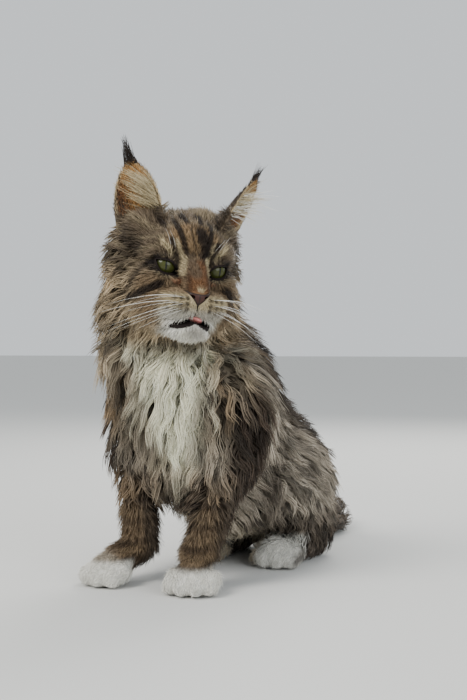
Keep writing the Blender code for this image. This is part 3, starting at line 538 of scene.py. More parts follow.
# %% Ear cups
EARS = {
    1: {
        "root": (0.000, 0.0540, 0.050),
        "tip": (-0.006, 0.0800, 0.104),
        "tuft": (-0.010, 0.0865, 0.122),
        "opens": 60.0,
    },
    -1: {
        "root": (0.002, -0.0485, 0.048),
        "tip": (-0.014, -0.0590, 0.1045),
        "tuft": (-0.020, -0.0690, 0.132),
        "opens": 38.0,
    },
}
EAR_HALF_WIDTH = 0.0265
EAR_CUP = 0.015
EAR_THICKNESS = 0.0018
EAR_FOOT = -0.30  # the leaf starts this share of its length below its root
EAR_TOP = 0.99


def ear_frame(side):
    """Root, axis with the ear's length, outward direction across it and the direction that it opens to."""
    root, tip = on_head(*EARS[side]["root"]), on_head(*EARS[side]["tip"])
    axis = tip - root
    opens = math.radians(EARS[side]["opens"])
    facing = np.array([math.cos(opens), math.sin(opens) * side, 0.0]) @ HEAD
    facing = unit(facing - unit(axis) * (facing @ unit(axis)))
    return root, axis, np.cross(unit(axis), facing) * side, facing


def ear_half_width(rise):
    """Half the ear's width at a rise along it, as a share of the widest."""
    return np.maximum(1.0 - rise**2.2, 0.0) ** 0.6


def ear_point(ear, rise, across, back=0.0):
    """Places on the ear's cup, rise along its length and across it, moved back by part of its thickness."""
    root, axis, outward_way, facing = ear
    rise, across = np.atleast_1d(rise)[:, None], np.atleast_1d(across)[:, None]
    up = np.maximum(rise, 0.0)
    width = EAR_HALF_WIDTH * ear_half_width(up)
    cup = EAR_CUP * (1.0 - 0.75 * up) * (width / EAR_HALF_WIDTH)
    bend = 1.0 - across**2
    thick = np.reshape(back, (-1, 1)) * EAR_THICKNESS * (0.45 + 0.55 * bend)
    return root + axis * rise + outward_way * width * across - facing * (cup * bend + thick)


def ear_cup(side):
    """The closed leaf of one ear, bent from a flat grid."""
    shape = bmesh.new()
    bmesh.ops.create_grid(shape, x_segments=16, y_segments=26, size=1.0)
    corners = np.array([v.co for v in shape.verts])
    rise = EAR_FOOT + (EAR_TOP - EAR_FOOT) * (corners[:, 1] + 1.0) / 2.0
    for vert, place in zip(shape.verts, ear_point(ear_frame(side), rise, corners[:, 0])):
        vert.co = place
    bmesh.ops.solidify(shape, geom=shape.faces[:], thickness=EAR_THICKNESS)
    bmesh.ops.recalc_face_normals(shape, faces=shape.faces)
    bmesh.ops.triangulate(shape, faces=shape.faces)
    return from_shape("ear", shape)


def combine(thing, others, operation):
    """One Boolean with several closed pieces; the manifold solver is quick on a mesh as fine as this."""
    group = bpy.data.collections.new("pieces")
    for other in others:
        group.objects.link(other)
    join = thing.modifiers.new("combine", "BOOLEAN")
    join.operation = operation
    join.solver = "MANIFOLD"
    join.operand_type = "COLLECTION"
    join.collection = group
    apply_modifiers(thing)
    for other in others:
        bpy.data.objects.remove(other)
    bpy.data.collections.remove(group)
    return thing


combine(skin, [ear_cup(1), ear_cup(-1)], "UNION")
print("with ears:", len(skin.data.polygons), "faces")

# %% [markdown]
# ## Eyes, nose and mouth
# The eyeballs sit deep in sockets, and a solid ball of lid round each is cut by the almond of the opening.
# The nose leather is a wedge taken out of the muzzle, with two pits for the nostrils. The mouth is a
# crescent under the upper lip, and a thin groove joins it to the nose. All of these are cut with closed
# shapes, so the skin stays one closed surface.

# %% Lids and eyeballs
EYE_AT = (0.0370, 0.0265, 0.0)
EYE_RADIUS = 0.0115
EYE_SPLAY = 12.0
EYE_ROOM = 0.0003
LID_THICKNESS = 0.0019
LID_OPENING = [
    (0.0108, 0.0046),
    (0.0072, 0.0048),
    (0.0015, 0.0044),
    (-0.0046, 0.0029),
    (-0.0094, -0.0012),
    (-0.0145, -0.0078),
    (-0.0072, -0.0076),
    (0.0000, -0.0073),
    (0.0060, -0.0045),
]


def round_form(name, at, radii, axes, segments=48, rings=32):
    """A ball or egg with its own axes, with its faces outwards also where the axes are mirrored."""
    shape = bmesh.new()
    place = placed(at, radii, axes)
    bmesh.ops.create_uvsphere(shape, u_segments=segments, v_segments=rings, radius=1.0, matrix=place)
    bmesh.ops.recalc_face_normals(shape, faces=shape.faces)
    made = from_shape(name, shape)
    made.data.shade_smooth()
    return made


def prism(name, outline, near, far):
    """A closed block between two loops: the outline as the near and the far function place it."""
    shape = bmesh.new()
    loops = [[shape.verts.new(Vector(place(*point))) for point in outline] for place in (near, far)]
    for loop in loops:
        shape.faces.new(loop)
    rims = [shape.edges.get((a, b)) for loop in loops for a, b in zip(loop, loop[1:] + loop[:1])]
    bmesh.ops.bridge_loops(shape, edges=rims)
    bmesh.ops.recalc_face_normals(shape, faces=shape.faces)
    return from_shape(name, shape)


def rounded(outline, parts=4):
    """The outline with curves through its points instead of corners."""
    points = np.array(outline)
    ahead, back = np.roll(points, -1, axis=0), np.roll(points, 1, axis=0)
    further = np.roll(points, -2, axis=0)
    found = []
    for t in np.arange(parts) / parts:
        a = -0.5 * back + 1.5 * points - 1.5 * ahead + 0.5 * further
        b = back - 2.5 * points + 2.0 * ahead - 0.5 * further
        found.append(a * t**3 + b * t**2 + 0.5 * (ahead - back) * t + points)
    return [tuple(point) for point in np.stack(found, axis=1).reshape(-1, 2)]


ALMOND = rounded(LID_OPENING)


def eye_frame(side):
    """Middle of the eyeball and its own outward-looking, sideways and up directions."""
    splay = math.radians(EYE_SPLAY)
    look = np.array([math.cos(splay), math.sin(splay) * side, 0.0]) @ HEAD
    out = np.array([-math.sin(splay), math.cos(splay) * side, 0.0]) @ HEAD
    forward, sideways, up = EYE_AT
    return on_head(forward, sideways * side, up), look, out, HEAD[2]


def lid_pieces(side):
    """The ball of the lids, the socket inside it and the almond cut through its front."""
    middle, look, out, up = eye_frame(side)
    lid = round_form("lid", middle, np.full(3, EYE_RADIUS + LID_THICKNESS), (out, up, look))
    socket = round_form("socket", middle, np.full(3, EYE_RADIUS + EYE_ROOM), (out, up, look))

    def near(sideways, rise):
        return middle + out * sideways * 0.9 + up * rise * 0.9 + look * 0.002

    def far(sideways, rise):
        return middle + out * sideways * 1.25 + up * rise * 1.25 + look * 0.030

    return lid, socket, prism("opening", ALMOND, near, far)


lids, sockets, openings = zip(lid_pieces(1), lid_pieces(-1))
combine(skin, lids, "UNION")
combine(skin, openings, "DIFFERENCE")
combine(skin, sockets, "DIFFERENCE")
eyes = {}
for side, word in ((1, "left"), (-1, "right")):
    middle, look, out, up = eye_frame(side)
    eyes[side] = round_form("eyeball_" + word, middle, np.full(3, EYE_RADIUS), (out, up, look), 64, 48)
print("lids cut, skin now has", len(skin.data.polygons), "faces")

# %% Nose leather
NOSE_TOP, NOSE_POINT = -0.0258, -0.0385  # heights on the head
NOSE_HALF_WIDTH = 0.0120
NOSE_BACK = 0.055
NOSE_GAP = 0.0002
NOSE_BORDER = 0.0012  # no hair grows this near to the leather's sides
NOSTRIL = (0.0058, 0.0034, 0.0024)
NOSTRIL_AT = (0.0745, 0.0072, -0.0300)


def block(name, planes, grow=0.0):
    """A convex block bounded by planes, each a point and the direction in which the block lies."""
    shape = bmesh.new()
    bmesh.ops.create_cube(shape, size=1.2)
    for point, towards in planes:
        cut = bmesh.ops.bisect_plane(
            shape,
            geom=shape.verts[:] + shape.edges[:] + shape.faces[:],
            plane_co=point - unit(towards) * grow,
            plane_no=unit(towards),
            clear_inner=True,
        )
        rim = [part for part in cut["geom_cut"] if isinstance(part, bmesh.types.BMEdge)]
        bmesh.ops.contextual_create(shape, geom=rim)
    bmesh.ops.recalc_face_normals(shape, faces=shape.faces)
    return from_shape(name, shape)


def nose_planes():
    """A level top, a back and two sides that meet at the point under the nostrils."""
    planes = [
        (on_head(0.075, 0, NOSE_TOP), np.array([-0.35, 0, -1.0]) @ HEAD),
        (on_head(NOSE_BACK, 0, 0), HEAD[0]),
    ]
    for side in (1, -1):
        slope = np.array([0.0, -side * (NOSE_TOP - NOSE_POINT), NOSE_HALF_WIDTH]) @ HEAD
        planes.append((on_head(0.070, 0, NOSE_POINT), slope))
    return planes


nose = link("nose_leather", skin.data.copy())
combine(nose, [block("nose wedge", nose_planes())], "INTERSECT")
combine(skin, [block("nose gap", nose_planes(), NOSE_GAP)], "DIFFERENCE")
pits = []
for side in (1, -1):
    turned = np.array([[0.8, 0.6 * side, 0.0], [-0.6 * side, 0.8, 0.0], [0.0, 0.0, 1.0]]) @ HEAD
    ahead, aside, up = NOSTRIL_AT
    pits.append(round_form("nostril", on_head(ahead, aside * side, up), NOSTRIL, turned, 24, 16))
combine(nose, pits, "DIFFERENCE")
print("nose leather has", len(nose.data.polygons), "faces")

# %% Mouth and tongue
MOUTH_DEPTH = 0.016
MOUTH_EDGE = [
    (0.000, -0.0468, -0.0555),
    (0.008, -0.0490, -0.0595),
    (0.016, -0.0532, -0.0620),
    (0.024, -0.0580, -0.0605),
]


def face_front(left, up):
    """How far forward the bare face lies at a place given sideways and up."""
    forward = 0.100
    for _ in range(60):
        forward -= 0.9 * float(distance(on_head(forward, left, up)[None], 0.0)[0])
    return forward


LIP = face_front(0.0, -0.050)


def mouth_opening():
    """A crescent that narrows towards the back of the mouth."""
    outline = [(-s, top) for s, top, _ in MOUTH_EDGE[::-1]]
    outline += [(s, top) for s, top, _ in MOUTH_EDGE[1:]]
    outline += [(s, low) for s, _, low in MOUTH_EDGE[::-1]]
    outline += [(-s, low) for s, _, low in MOUTH_EDGE[1:]]

    def near(left, up):
        return on_head(LIP - MOUTH_DEPTH - 0.3 * abs(left), left * 0.8, up * 0.3 - 0.036)

    def far(left, up):
        return on_head(LIP + 0.014, left, up)

    return prism("mouth", outline, near, far)


GROOVE = (0.0006, -0.0372, -0.0480)  # half width, top and foot


def philtrum():
    """The thin groove from the nose's point to the lips."""
    half, top, low = GROOVE
    outline = [(-half, top), (half, top), (half, low), (-half, low)]
    valley = face_front(0.0, -0.043)

    def near(left, up):
        return on_head(valley - 0.0012, left * 0.3, up)

    def far(left, up):
        return on_head(valley + 0.020, left * 1.5, up)

    return prism("philtrum", outline, near, far)


combine(skin, [mouth_opening()], "DIFFERENCE")
combine(skin, [philtrum()], "DIFFERENCE")
TONGUE_TURN = math.radians(14.0)
TONGUE = (0.0130, 0.0072, 0.0034)
cosine, sine = math.cos(TONGUE_TURN), math.sin(TONGUE_TURN)
tongue_axes = np.array([[1, 0, 0], [0, cosine, -sine], [0, sine, cosine]]) @ HEAD
tongue_tip = on_head(LIP + 0.0005, 0.0035, -0.0515)
tongue = round_form("tongue_tip", tongue_tip - HEAD[0] * 0.010, TONGUE, tongue_axes)
print("mouth cut, skin now has", len(skin.data.polygons), "faces")

# %% [markdown]
# ## Markings
# A tabby's pattern is painted into each hair as it grows, so skin, roots and tips share one pattern. The
# colours are a function of the place: broad areas on the body, and bands along short paths on the face.
# The face is looked up by direction from inside the skull, so a root and the tip above it get one colour.

# %% Tools for painting
GREY_BROWN = (0.150, 0.112, 0.074)
STRIPE = (0.022, 0.015, 0.011)
CREAM = (0.60, 0.50, 0.31)
WHITE = (0.88, 0.86, 0.79)
# white of the bib, tinted yellow-green by a painted reflection of grass
BIB_WHITE_WITH_PAINTED_REFLECTION = (0.86, 0.84, 0.66)
RUFOUS = (0.20, 0.092, 0.040)
FOREHEAD_TAN = (0.29, 0.195, 0.105)
TAN = (0.27, 0.190, 0.112)
LEG_BROWN = (0.118, 0.090, 0.063)
CHEEK = (0.235, 0.165, 0.098)
RUFF = (0.47, 0.37, 0.24)
RUFF_GREY = (0.25, 0.205, 0.145)
DARK_BACK = (0.040, 0.026, 0.018)
FLANK = (0.42, 0.365, 0.29)
BELLY = (0.55, 0.48, 0.36)
SALMON = (0.46, 0.20, 0.11)
MUZZLE_GREY = (0.62, 0.59, 0.52)
GOLDEN = (0.36, 0.20, 0.075)
HEAD_CORE = np.array([0.004, 0.0, -0.014])  # the face's directions are taken from here
HEAD_RADIUS = 0.060


def smooth(value, low, high):
    """0 under the low value and 1 over the high one, with an even passage between."""
    share = np.clip((value - low) / (high - low), 0.0, 1.0)
    return share * share * (3.0 - 2.0 * share)


def below(value, low, high):
    """1 under the low value and 0 over the high one."""
    return 1.0 - smooth(value, low, high)


def off_path(points, path):
    """How far points lie from a line through the places of a path."""
    path = np.asarray(path, float)
    nearest = np.full(len(points), np.inf)
    for start, end in zip(path, path[1:]):
        way = end - start
        share = np.clip((points - start) @ way / (way @ way), 0.0, 1.0)
        nearest = np.minimum(nearest, np.linalg.norm(points - start - share[:, None] * way, axis=1))
    return nearest


def paint(colours, other, share):
    return colours + (np.asarray(other) - colours) * np.clip(share, 0.0, 1.0)[:, None]


def globe(places):
    """Places of the head moved onto a ball round its core, so that depth in the coat doesn't count."""
    away = np.atleast_2d(places) - HEAD_CORE
    return away / np.linalg.norm(away, axis=1)[:, None] * HEAD_RADIUS


def face_band(on_globe, path, width, soft=0.002):
    """1 on a band of the face along a path of places of the head, and 0 beside it."""
    return below(off_path(on_globe, globe(path)), width / 2, width / 2 + soft)


# %% Colours of the body
BIB = (  # height, middle from side to side, half width
    (0.118, 0.010, -0.008),
    (0.130, 0.012, 0.012),
    (0.165, 0.016, 0.022),
    (0.200, 0.012, 0.032),
    (0.247, 0.000, 0.046),
    (0.290, 0.000, 0.046),
)


def body_colours(points):
    """Colours at places of trunk, legs and tail."""
    x, y, z = points.T
    aside = np.abs(x)
    folded = np.stack([aside, y, z], axis=1)
    colours = np.tile(np.array(FLANK), (len(points), 1))
    swirl = np.sin(2 * math.pi * (y * 0.85 - z * 0.55) / 0.040 + 2.2 * np.sin(z / 0.021))
    colours = paint(colours, DARK_BACK, 0.42 * smooth(swirl, 0.15, 0.9))
    over_spine = z - (0.135 - 0.60 * y)
    colours = paint(colours, DARK_BACK, 0.93 * smooth(over_spine, -0.044, -0.016))
    colours = paint(colours, RUFF_GREY, 0.85 * smooth(z, 0.130, 0.165) * smooth(-y, 0.225, 0.245))
    outer_ruff = smooth(aside, 0.058, 0.074) * smooth(z, 0.180, 0.215) * smooth(-y, 0.205, 0.235)
    colours = paint(colours, RUFF, 0.55 * outer_ruff)
    elbow = off_path(folded, [(0.092, -0.240, 0.178), (0.084, -0.245, 0.110), (0.060, -0.165, 0.085)])
    colours = paint(colours, DARK_BACK, 0.95 * below(elbow, 0.024, 0.038) * smooth(aside, 0.048, 0.060))
    locks = off_path(folded, [(0.064, -0.272, 0.230), (0.080, -0.282, 0.160)])
    colours = paint(colours, TAN, 0.9 * below(locks, 0.008, 0.018))
    ruff_stripes = np.sin(2 * math.pi * (aside + 0.35 * z) / 0.020)
    striped = 0.55 * smooth(ruff_stripes, 0.2, 0.9) * smooth(z, 0.15, 0.19) * smooth(-y, 0.20, 0.24)
    colours = paint(colours, DARK_BACK, striped)
    front = smooth(-y, 0.205, 0.235)
    colours = paint(colours, BELLY, front * below(z, 0.124, 0.146) * below(aside, 0.024, 0.040))
    levels, middles, half_widths = zip(*BIB)
    beside = np.abs(x - np.interp(z, levels, middles)) - np.interp(z, levels, half_widths)
    # the bib's white, with its painted yellow-green reflection
    colours = paint(colours, BIB_WHITE_WITH_PAINTED_REFLECTION, front * below(beside, -0.006, 0.006))
    under = 0.8 * below(z, 0.050, 0.085) * smooth(y, -0.22, -0.19) * below(aside, 0.02, 0.04)
    colours = paint(colours, BELLY, under)
    return colours


LEG_RINGS = (0.0455, 0.0315, 0.066, 0.086)
WHITE_FROM = {1: 0.004, -1: 0.022}  # a forefoot is white this far ahead of its wrist


def leg_colours(colours, points):
    """Bands, tan fronts, dark backs and white feet over the body's colours."""
    x, y, z = points.T
    for side in (1, -1):
        wrist = np.array(FORELEGS[side]["wrist"])
        turn = math.radians(FORELEGS[side]["turn"])
        forward = np.array([math.sin(turn), -math.cos(turn)])
        near = below(np.hypot(x - wrist[0], y - wrist[1]), 0.035, 0.050) * below(z, 0.105, 0.125)
        ahead = (points[:, :2] - wrist[:2]) @ forward
        leg = paint(colours, LEG_BROWN, near)
        leg = paint(leg, TAN, 0.70 * near * smooth(ahead, 0.001, 0.011))
        leg = paint(leg, DARK_BACK, 0.85 * near * below(ahead, -0.014, -0.004))
        for level in LEG_RINGS:
            ring = below(np.abs(z - level + 0.15 * ahead), 0.0016, 0.0040)
            leg = paint(leg, DARK_BACK, 0.72 * near * ring)
        colours = leg
        foot = below(np.abs(x - wrist[0] - 0.02 * side), 0.045, 0.055) * smooth(-y, 0.20, 0.22)
        edge = WHITE_FROM[side]
        sock = foot * below(z, 0.022, 0.029)
        colours = paint(colours, WHITE, sock * smooth(ahead, edge - 0.004, edge + 0.004))
        dark_back = sock * below(ahead, edge - 0.004, edge + 0.004)
        colours = paint(colours, STRIPE, 0.8 * dark_back)
    aside = np.abs(x)
    hind = below(z, 0.052, 0.068) * smooth(y, -0.20, -0.17) * smooth(aside, 0.024, 0.032)
    colours = paint(colours, DARK_BACK, 0.85 * hind)
    foot = below(z, 0.030, 0.038) * below(y, -0.090, -0.078) * below(aside, 0.072, 0.079)
    return paint(colours, WHITE, hind * foot)


def tail_colours(colours, points):
    """A dark tail with paler rings."""
    tail = smooth(points[:, 1], 0.050, 0.075)
    along = points[:, 1] * 0.6 - points[:, 0]
    ring = smooth(np.sin(2 * math.pi * along / 0.042), 0.2, 0.8)
    colours = paint(colours, DARK_BACK, 0.93 * tail)
    return paint(colours, GREY_BROWN, 0.55 * tail * ring)


# %% Colours of the face
BLOTCH = [(0.050, 0.006, 0.040), (0.053, 0.007, 0.030), (0.054, 0.012, 0.017)]
EYELINER = [
    (0.044, 0.038, 0.006),
    (0.034, 0.049, 0.002),
    (0.029, 0.057, -0.010),
    (0.018, 0.064, -0.025),
    (0.008, 0.068, -0.034),
]
CHEEK_STRIPE = [(0.056, 0.036, -0.019), (0.040, 0.051, -0.029), (0.008, 0.067, -0.042)]
BROW_STRIPE = [(0.030, 0.020, 0.050), (0.046, 0.018, 0.039), (0.054, 0.012, 0.021), (0.056, 0.009, 0.011)]
NOSE_STRIPE = [(0.062, 0.0, -0.002), (0.066, 0.0, -0.010), (0.078, 0.0, -0.026)]
ONE_SIDE, BOTH_SIDES = False, True
# colour, strength, width, softness of the edge, sides of the face, and the path as places of the head
FOREHEAD_BANDS = [
    (FOREHEAD_TAN, 0.90, 0.0260, 0.0100, ONE_SIDE, [(0.052, -0.010, 0.030), (0.053, 0.008, 0.030)]),
    (CREAM, 0.85, 0.0030, 0.0020, BOTH_SIDES, [(0.051, 0.021, 0.026), (0.054, 0.013, 0.009)]),
    (CREAM, 0.85, 0.0030, 0.0020, BOTH_SIDES, [(0.045, 0.035, 0.025), (0.050, 0.023, 0.011)]),
    (STRIPE, 0.95, 0.0042, 0.0016, BOTH_SIDES, [(0.049, 0.026, 0.028), (0.050, 0.019, 0.009)]),
    (STRIPE, 0.95, 0.0042, 0.0016, BOTH_SIDES, BROW_STRIPE),
    (STRIPE, 0.95, 0.0042, 0.0016, BOTH_SIDES, [(0.010, 0.034, 0.056), (0.032, 0.031, 0.044)]),
    (STRIPE, 0.95, 0.0042, 0.0016, BOTH_SIDES, [(0.018, 0.010, 0.062), (0.040, 0.008, 0.050)]),
    (STRIPE, 0.97, 0.0105, 0.0020, ONE_SIDE, BLOTCH),
]
FACE_BANDS = [
    (STRIPE, 0.75, 0.0050, 0.0020, BOTH_SIDES, [(0.056, 0.004, 0.013), (0.056, 0.010, 0.005)]),
    (STRIPE, 0.80, 0.0100, 0.0060, BOTH_SIDES, [(0.004, 0.069, 0.031), (0.020, 0.058, 0.019)]),
    (STRIPE, 0.97, 0.0064, 0.0020, BOTH_SIDES, EYELINER),
    (STRIPE, 0.95, 0.0062, 0.0020, BOTH_SIDES, CHEEK_STRIPE),
    (STRIPE, 0.45, 0.0120, 0.0080, ONE_SIDE, [(0.026, 0.060, -0.011), (0.047, 0.046, -0.038)]),
    (RUFOUS, 0.85, 0.0170, 0.0040, BOTH_SIDES, NOSE_STRIPE),
    (GREY_BROWN, 0.80, 0.0080, 0.0040, ONE_SIDE, [(0.058, -0.008, 0.008), (0.064, -0.003, -0.006)]),
    (STRIPE, 0.55, 0.0025, 0.0015, BOTH_SIDES, [(0.060, 0.009, -0.008), (0.072, 0.010, -0.024)]),
    # a painted highlight: a small pale band on one side just above the nose leather
    (CREAM, 0.75, 0.0026, 0.0012, ONE_SIDE, [(0.0765, -0.001, -0.0220), (0.077, 0.003, -0.0225)]),
    (CREAM, 1.00, 0.0062, 0.0014, BOTH_SIDES, [(0.053, 0.0125, 0.008), (0.056, 0.014, -0.006)]),
    (SALMON, 0.90, 0.0056, 0.0015, BOTH_SIDES, [(0.054, 0.021, -0.013), (0.055, 0.017, -0.015)]),
    (CREAM, 0.50, 0.0030, 0.0020, BOTH_SIDES, [(0.054, 0.020, -0.012), (0.047, 0.034, -0.008)]),
]
# heights of the rows of spots, where the whiskers grow too, and how many are in each
SPOT_ROWS = ((-0.031, 3), (-0.0365, 4), (-0.042, 4))
SPOT_EDGE = (0.0010, 0.0024)


def paint_bands(colours, bands, on_globe, folded):
    """Paints a table's bands in their order; folded places have the right side laid over the left."""
    for colour, strength, width, soft, both, path in bands:
        band = face_band(folded if both else on_globe, path, width, soft)
        colours = paint(colours, colour, strength * band)
    return colours


def face_colours(places):
    """Colours at places of the head, given forward, left and up."""
    ahead, left, up = places.T
    aside = np.abs(left)
    on_globe = globe(places)
    folded = on_globe.copy()
    folded[:, 1] = np.abs(folded[:, 1])
    f, l, u = folded.T

    colours = np.tile(np.array(GREY_BROWN), (len(places), 1))
    ticks = np.sin(2 * math.pi * (u / 0.0075 + l / 0.030))
    colours = paint(colours, CREAM, 0.22 * smooth(ticks, 0.0, 0.9))
    colours = paint(colours, CHEEK, below(u, -0.004, 0.012))
    colours = paint(colours, RUFF, 0.75 * below(f, 0.012, 0.034) * below(u, -0.010, 0.020))
    colours = paint(colours, RUFF, 0.7 * below(u, -0.046, -0.030) * smooth(l, 0.014, 0.026))
    colours = paint_bands(colours, FOREHEAD_BANDS, on_globe, folded)
    ring = np.abs(off_path(on_globe, globe(BLOTCH)) - 0.0098)
    colours = paint(colours, STRIPE, 0.75 * below(ring, 0.0004, 0.0018))
    colours = paint_bands(colours, FACE_BANDS, on_globe, folded)

    pads = smooth(ahead, 0.046, 0.054) * below(up, -0.030, -0.025) * below(aside, 0.030, 0.038)
    colours = paint(colours, CREAM, 0.9 * pads)
    colours = paint(colours, MUZZLE_GREY, 0.9 * pads * below(up, -0.046, -0.038))
    for level, count in SPOT_ROWS:
        for i in range(count):
            spot = globe([(0.0735 - 0.0045 * i, 0.0115 + 0.0050 * i, level + 0.0006 * i)])
            near = np.linalg.norm(folded - spot, axis=1)
            colours = paint(colours, STRIPE, 0.85 * pads * below(near, *SPOT_EDGE))
    chin = smooth(ahead, 0.024, 0.040) * below(up, -0.056, -0.050) * below(aside, 0.020, 0.034)
    return paint(colours, WHITE, 0.95 * chin)


def markings(points):
    """Linear colours of the coat at places of the model."""
    places = in_head(points)
    colours = tail_colours(leg_colours(body_colours(points), points), points)
    # the ruff hangs from the cheeks, so its colours reach further down than the face's
    reach = np.linalg.norm((places - (0.0, 0.0, -0.005)) * (1.0, 1.0, 0.9), axis=1)
    head = below(reach, 0.080, 0.098) * smooth(points[:, 2], 0.235, 0.262)
    return colours * (1.0 - head)[:, None] + face_colours(places) * head[:, None]


# %% [markdown]
# ## The skin's surface
# Close to the eyes, the lids have bare dark rims. The lips are dark too, and the inside of the mouth is
# painted dark as shade. These areas are found from their distance to the lids' opening and the mouth. The
# rest takes the coat's own markings, but darker, as the skin between hairs lies in their shade.

# %% Areas of the skin
# dark of bare skin, also painted inside the mouth as shade
BARE_DARK = (0.012, 0.008, 0.007)
SKIN_SHADE = 0.62
BARE_RIM = 0.0026  # the dark rim of the lids has this width


def on_ear(points, side):
    """Rise, across and whether a place lies on the ear of that side."""
    root, axis, outward_way, facing = ear_frame(side)
    away = points - root
    rise = away @ axis / (axis @ axis)
    across = away @ outward_way
    deep = away @ facing
    inside = (rise > 0.10) & (rise < 1.1) & (np.abs(across) < 0.032) & (deep < 0.006) & (deep > -0.024)
    inside[inside] = distance(points[inside], 0.0) > 0.0012
    return rise, across / EAR_HALF_WIDTH, inside


def ear_colours(points, normals, colours):
    """Dark backs, a golden inside with a reddish outer edge, a pale rim and a black tip."""
    for side in (1, -1):
        rise, across, found = on_ear(points, side)
        facing = ear_frame(side)[3]
        front = smooth(normals @ facing, -0.15, 0.15)
        edge = np.abs(across) / np.maximum(ear_half_width(np.clip(rise, 0.0, 1.0)), 0.05)
        back = np.tile(np.array(STRIPE) * 1.6, (len(points), 1))
        back = paint(back, GREY_BROWN, 0.5 * below(rise, 0.1, 0.5))
        inner = np.tile(np.array(GOLDEN), (len(points), 1))
        inner = paint(inner, RUFOUS, smooth(across, 0.1, 0.7) * below(rise, 0.5, 0.9))
        inner = paint(inner, STRIPE, 0.6 * below(across, -0.9, -0.3) * below(rise, 0.35, 0.6))
        inner = paint(inner, CREAM, 0.75 * smooth(edge, 0.82, 0.95))
        both = back + (inner - back) * front[:, None]
        both = paint(both, STRIPE, smooth(rise, 0.90, 1.0))
        colours = np.where(found[:, None], both, colours)
    return colours


def off_almond(points):
    """How far places on the lids lie outside the almond of their eye's opening, seen along the gaze."""
    nearest = np.full(len(points), 1.0)
    outline = ALMOND + ALMOND[:1]
    for side in (1, -1):
        middle, look, out, up = eye_frame(side)
        away = points - middle
        on_lids = (away @ look > 0.001) & (np.linalg.norm(away, axis=1) < 0.024)
        flat = np.stack([away[on_lids] @ out, away[on_lids] @ up], axis=1)
        inside = np.zeros(len(flat), bool)
        for (x0, y0), (x1, y1) in zip(outline, outline[1:]):
            spans = (y0 > flat[:, 1]) != (y1 > flat[:, 1])
            inside ^= spans & (flat[:, 0] < x0 + (flat[:, 1] - y0) * (x1 - x0) / (y1 - y0 + 1e-12))
        gap = off_path(flat, outline)
        nearest[on_lids] = np.where(inside, -gap, gap)
    return nearest


def in_mouth(places, room=0.0):
    """True for places of the head inside the lips' opening, grown by that much room."""
    aside = np.abs(places[:, 1])
    sides, tops, lows = np.array(MOUTH_EDGE).T
    top, low = np.interp(aside, sides, tops), np.interp(aside, sides, lows)
    up = places[:, 2]
    ahead = places[:, 0] > LIP - 0.5 * aside - 0.020
    return ahead & (aside < sides[-1] + room) & (up < top + room) & (up > low - room)


def in_groove(places, half_width):
    """True for places of the head along the groove between nose and mouth."""
    up = places[:, 2]
    return (np.abs(places[:, 1]) < half_width) & (up < -0.036) & (up > -0.049) & (places[:, 0] > 0.05)


def skin_colours(points, normals):
    """Markings in the shade of the hair; ears, lids' rims, lips and groove in their own colours; painted
    shade in the mouth.
    """
    colours = markings(points) * SKIN_SHADE
    colours = ear_colours(points, normals, colours)
    places = in_head(points)
    # lids' rims and lips are dark skin; inside the mouth the same dark is painted shade
    dark = (off_almond(points) < BARE_RIM) | in_mouth(places, 0.0008)
    return np.where((dark | in_groove(places, 0.0012))[:, None], np.array(BARE_DARK), colours)


# %% Materials that take their colour from the mesh
def coloured_material(name, roughness, specular=0.3, coat=0.0, bump=0.0, bump_size=0.001, sheen=0.0):
    made = plain_material(name, (0.5, 0.5, 0.5), roughness)
    nodes, links = made.node_tree.nodes, made.node_tree.links
    shader = nodes["Principled BSDF"]
    shader.inputs["Specular IOR Level"].default_value = specular
    shader.inputs["Coat Weight"].default_value = coat
    shader.inputs["Coat Roughness"].default_value = 0.06
    shader.inputs["Sheen Weight"].default_value = sheen
    colour = nodes.new("ShaderNodeAttribute")
    colour.attribute_name = "colour"
    links.new(colour.outputs["Color"], shader.inputs["Base Color"])
    if bump:
        place = nodes.new("ShaderNodeTexCoord")
        grain = nodes.new("ShaderNodeTexNoise")
        grain.inputs["Scale"].default_value = 1.0 / bump_size
        relief = nodes.new("ShaderNodeBump")
        relief.inputs["Strength"].default_value = bump
        relief.inputs["Distance"].default_value = bump_size * 0.5
        links.new(place.outputs["Object"], grain.inputs["Vector"])
        links.new(grain.outputs["Fac"], relief.inputs["Height"])
        links.new(relief.outputs["Normal"], shader.inputs["Normal"])
    return made


def set_colours(mesh, colours):
    layer = mesh.attributes.new("colour", "FLOAT_COLOR", "POINT")
    opaque = np.column_stack([colours, np.ones(len(colours))])
    layer.data.foreach_set("color", opaque.ravel().astype(np.float32))


def vertex_normals(mesh):
    normals = np.empty(len(mesh.vertices) * 3)
    mesh.vertices.foreach_get("normal", normals)
    return normals.reshape(-1, 3)


ALL_FLESH = ["head", "neck", "torso", "tail_root", "tail_middle", "tail_tip", "ear_left", "ear_right"]
for part in ("foreleg", "forepaw", "hindleg", "hindpaw"):
    ALL_FLESH += [part + "_left", part + "_right"]


def steady(thing):
    """Rebuilds a mesh of triangles with its faces in one fixed order, because a Boolean's order varies."""
    points = mesh_points(thing.data)
    corners = np.empty(len(thing.data.polygons) * 3, int)
    thing.data.loops.foreach_get("vertex_index", corners)
    corners = corners.reshape(-1, 3)
    turned = (corners.argmin(axis=1)[:, None] + np.arange(3)) % 3
    corners = np.take_along_axis(corners, turned, axis=1)
    corners = corners[np.lexsort(corners.T[::-1])]
    mesh = bpy.data.meshes.new(thing.name)
    mesh.from_pydata(points.tolist(), [], corners.tolist())
    old, thing.data = thing.data, mesh
    bpy.data.meshes.remove(old)


shape = bmesh.new()
shape.from_mesh(skin.data)
bmesh.ops.triangulate(shape, faces=shape.faces)
shape.to_mesh(skin.data)
shape.free()
steady(skin)
skin.data.shade_smooth()
set_colours(skin.data, skin_colours(mesh_points(skin.data), vertex_normals(skin.data)))
skin.data.materials.append(coloured_material("skin", 0.75, 0.12, bump=0.5, bump_size=0.0012))
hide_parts(*ALL_FLESH)
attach(skin, "root")
print("skin:", len(skin.data.polygons), "triangles")

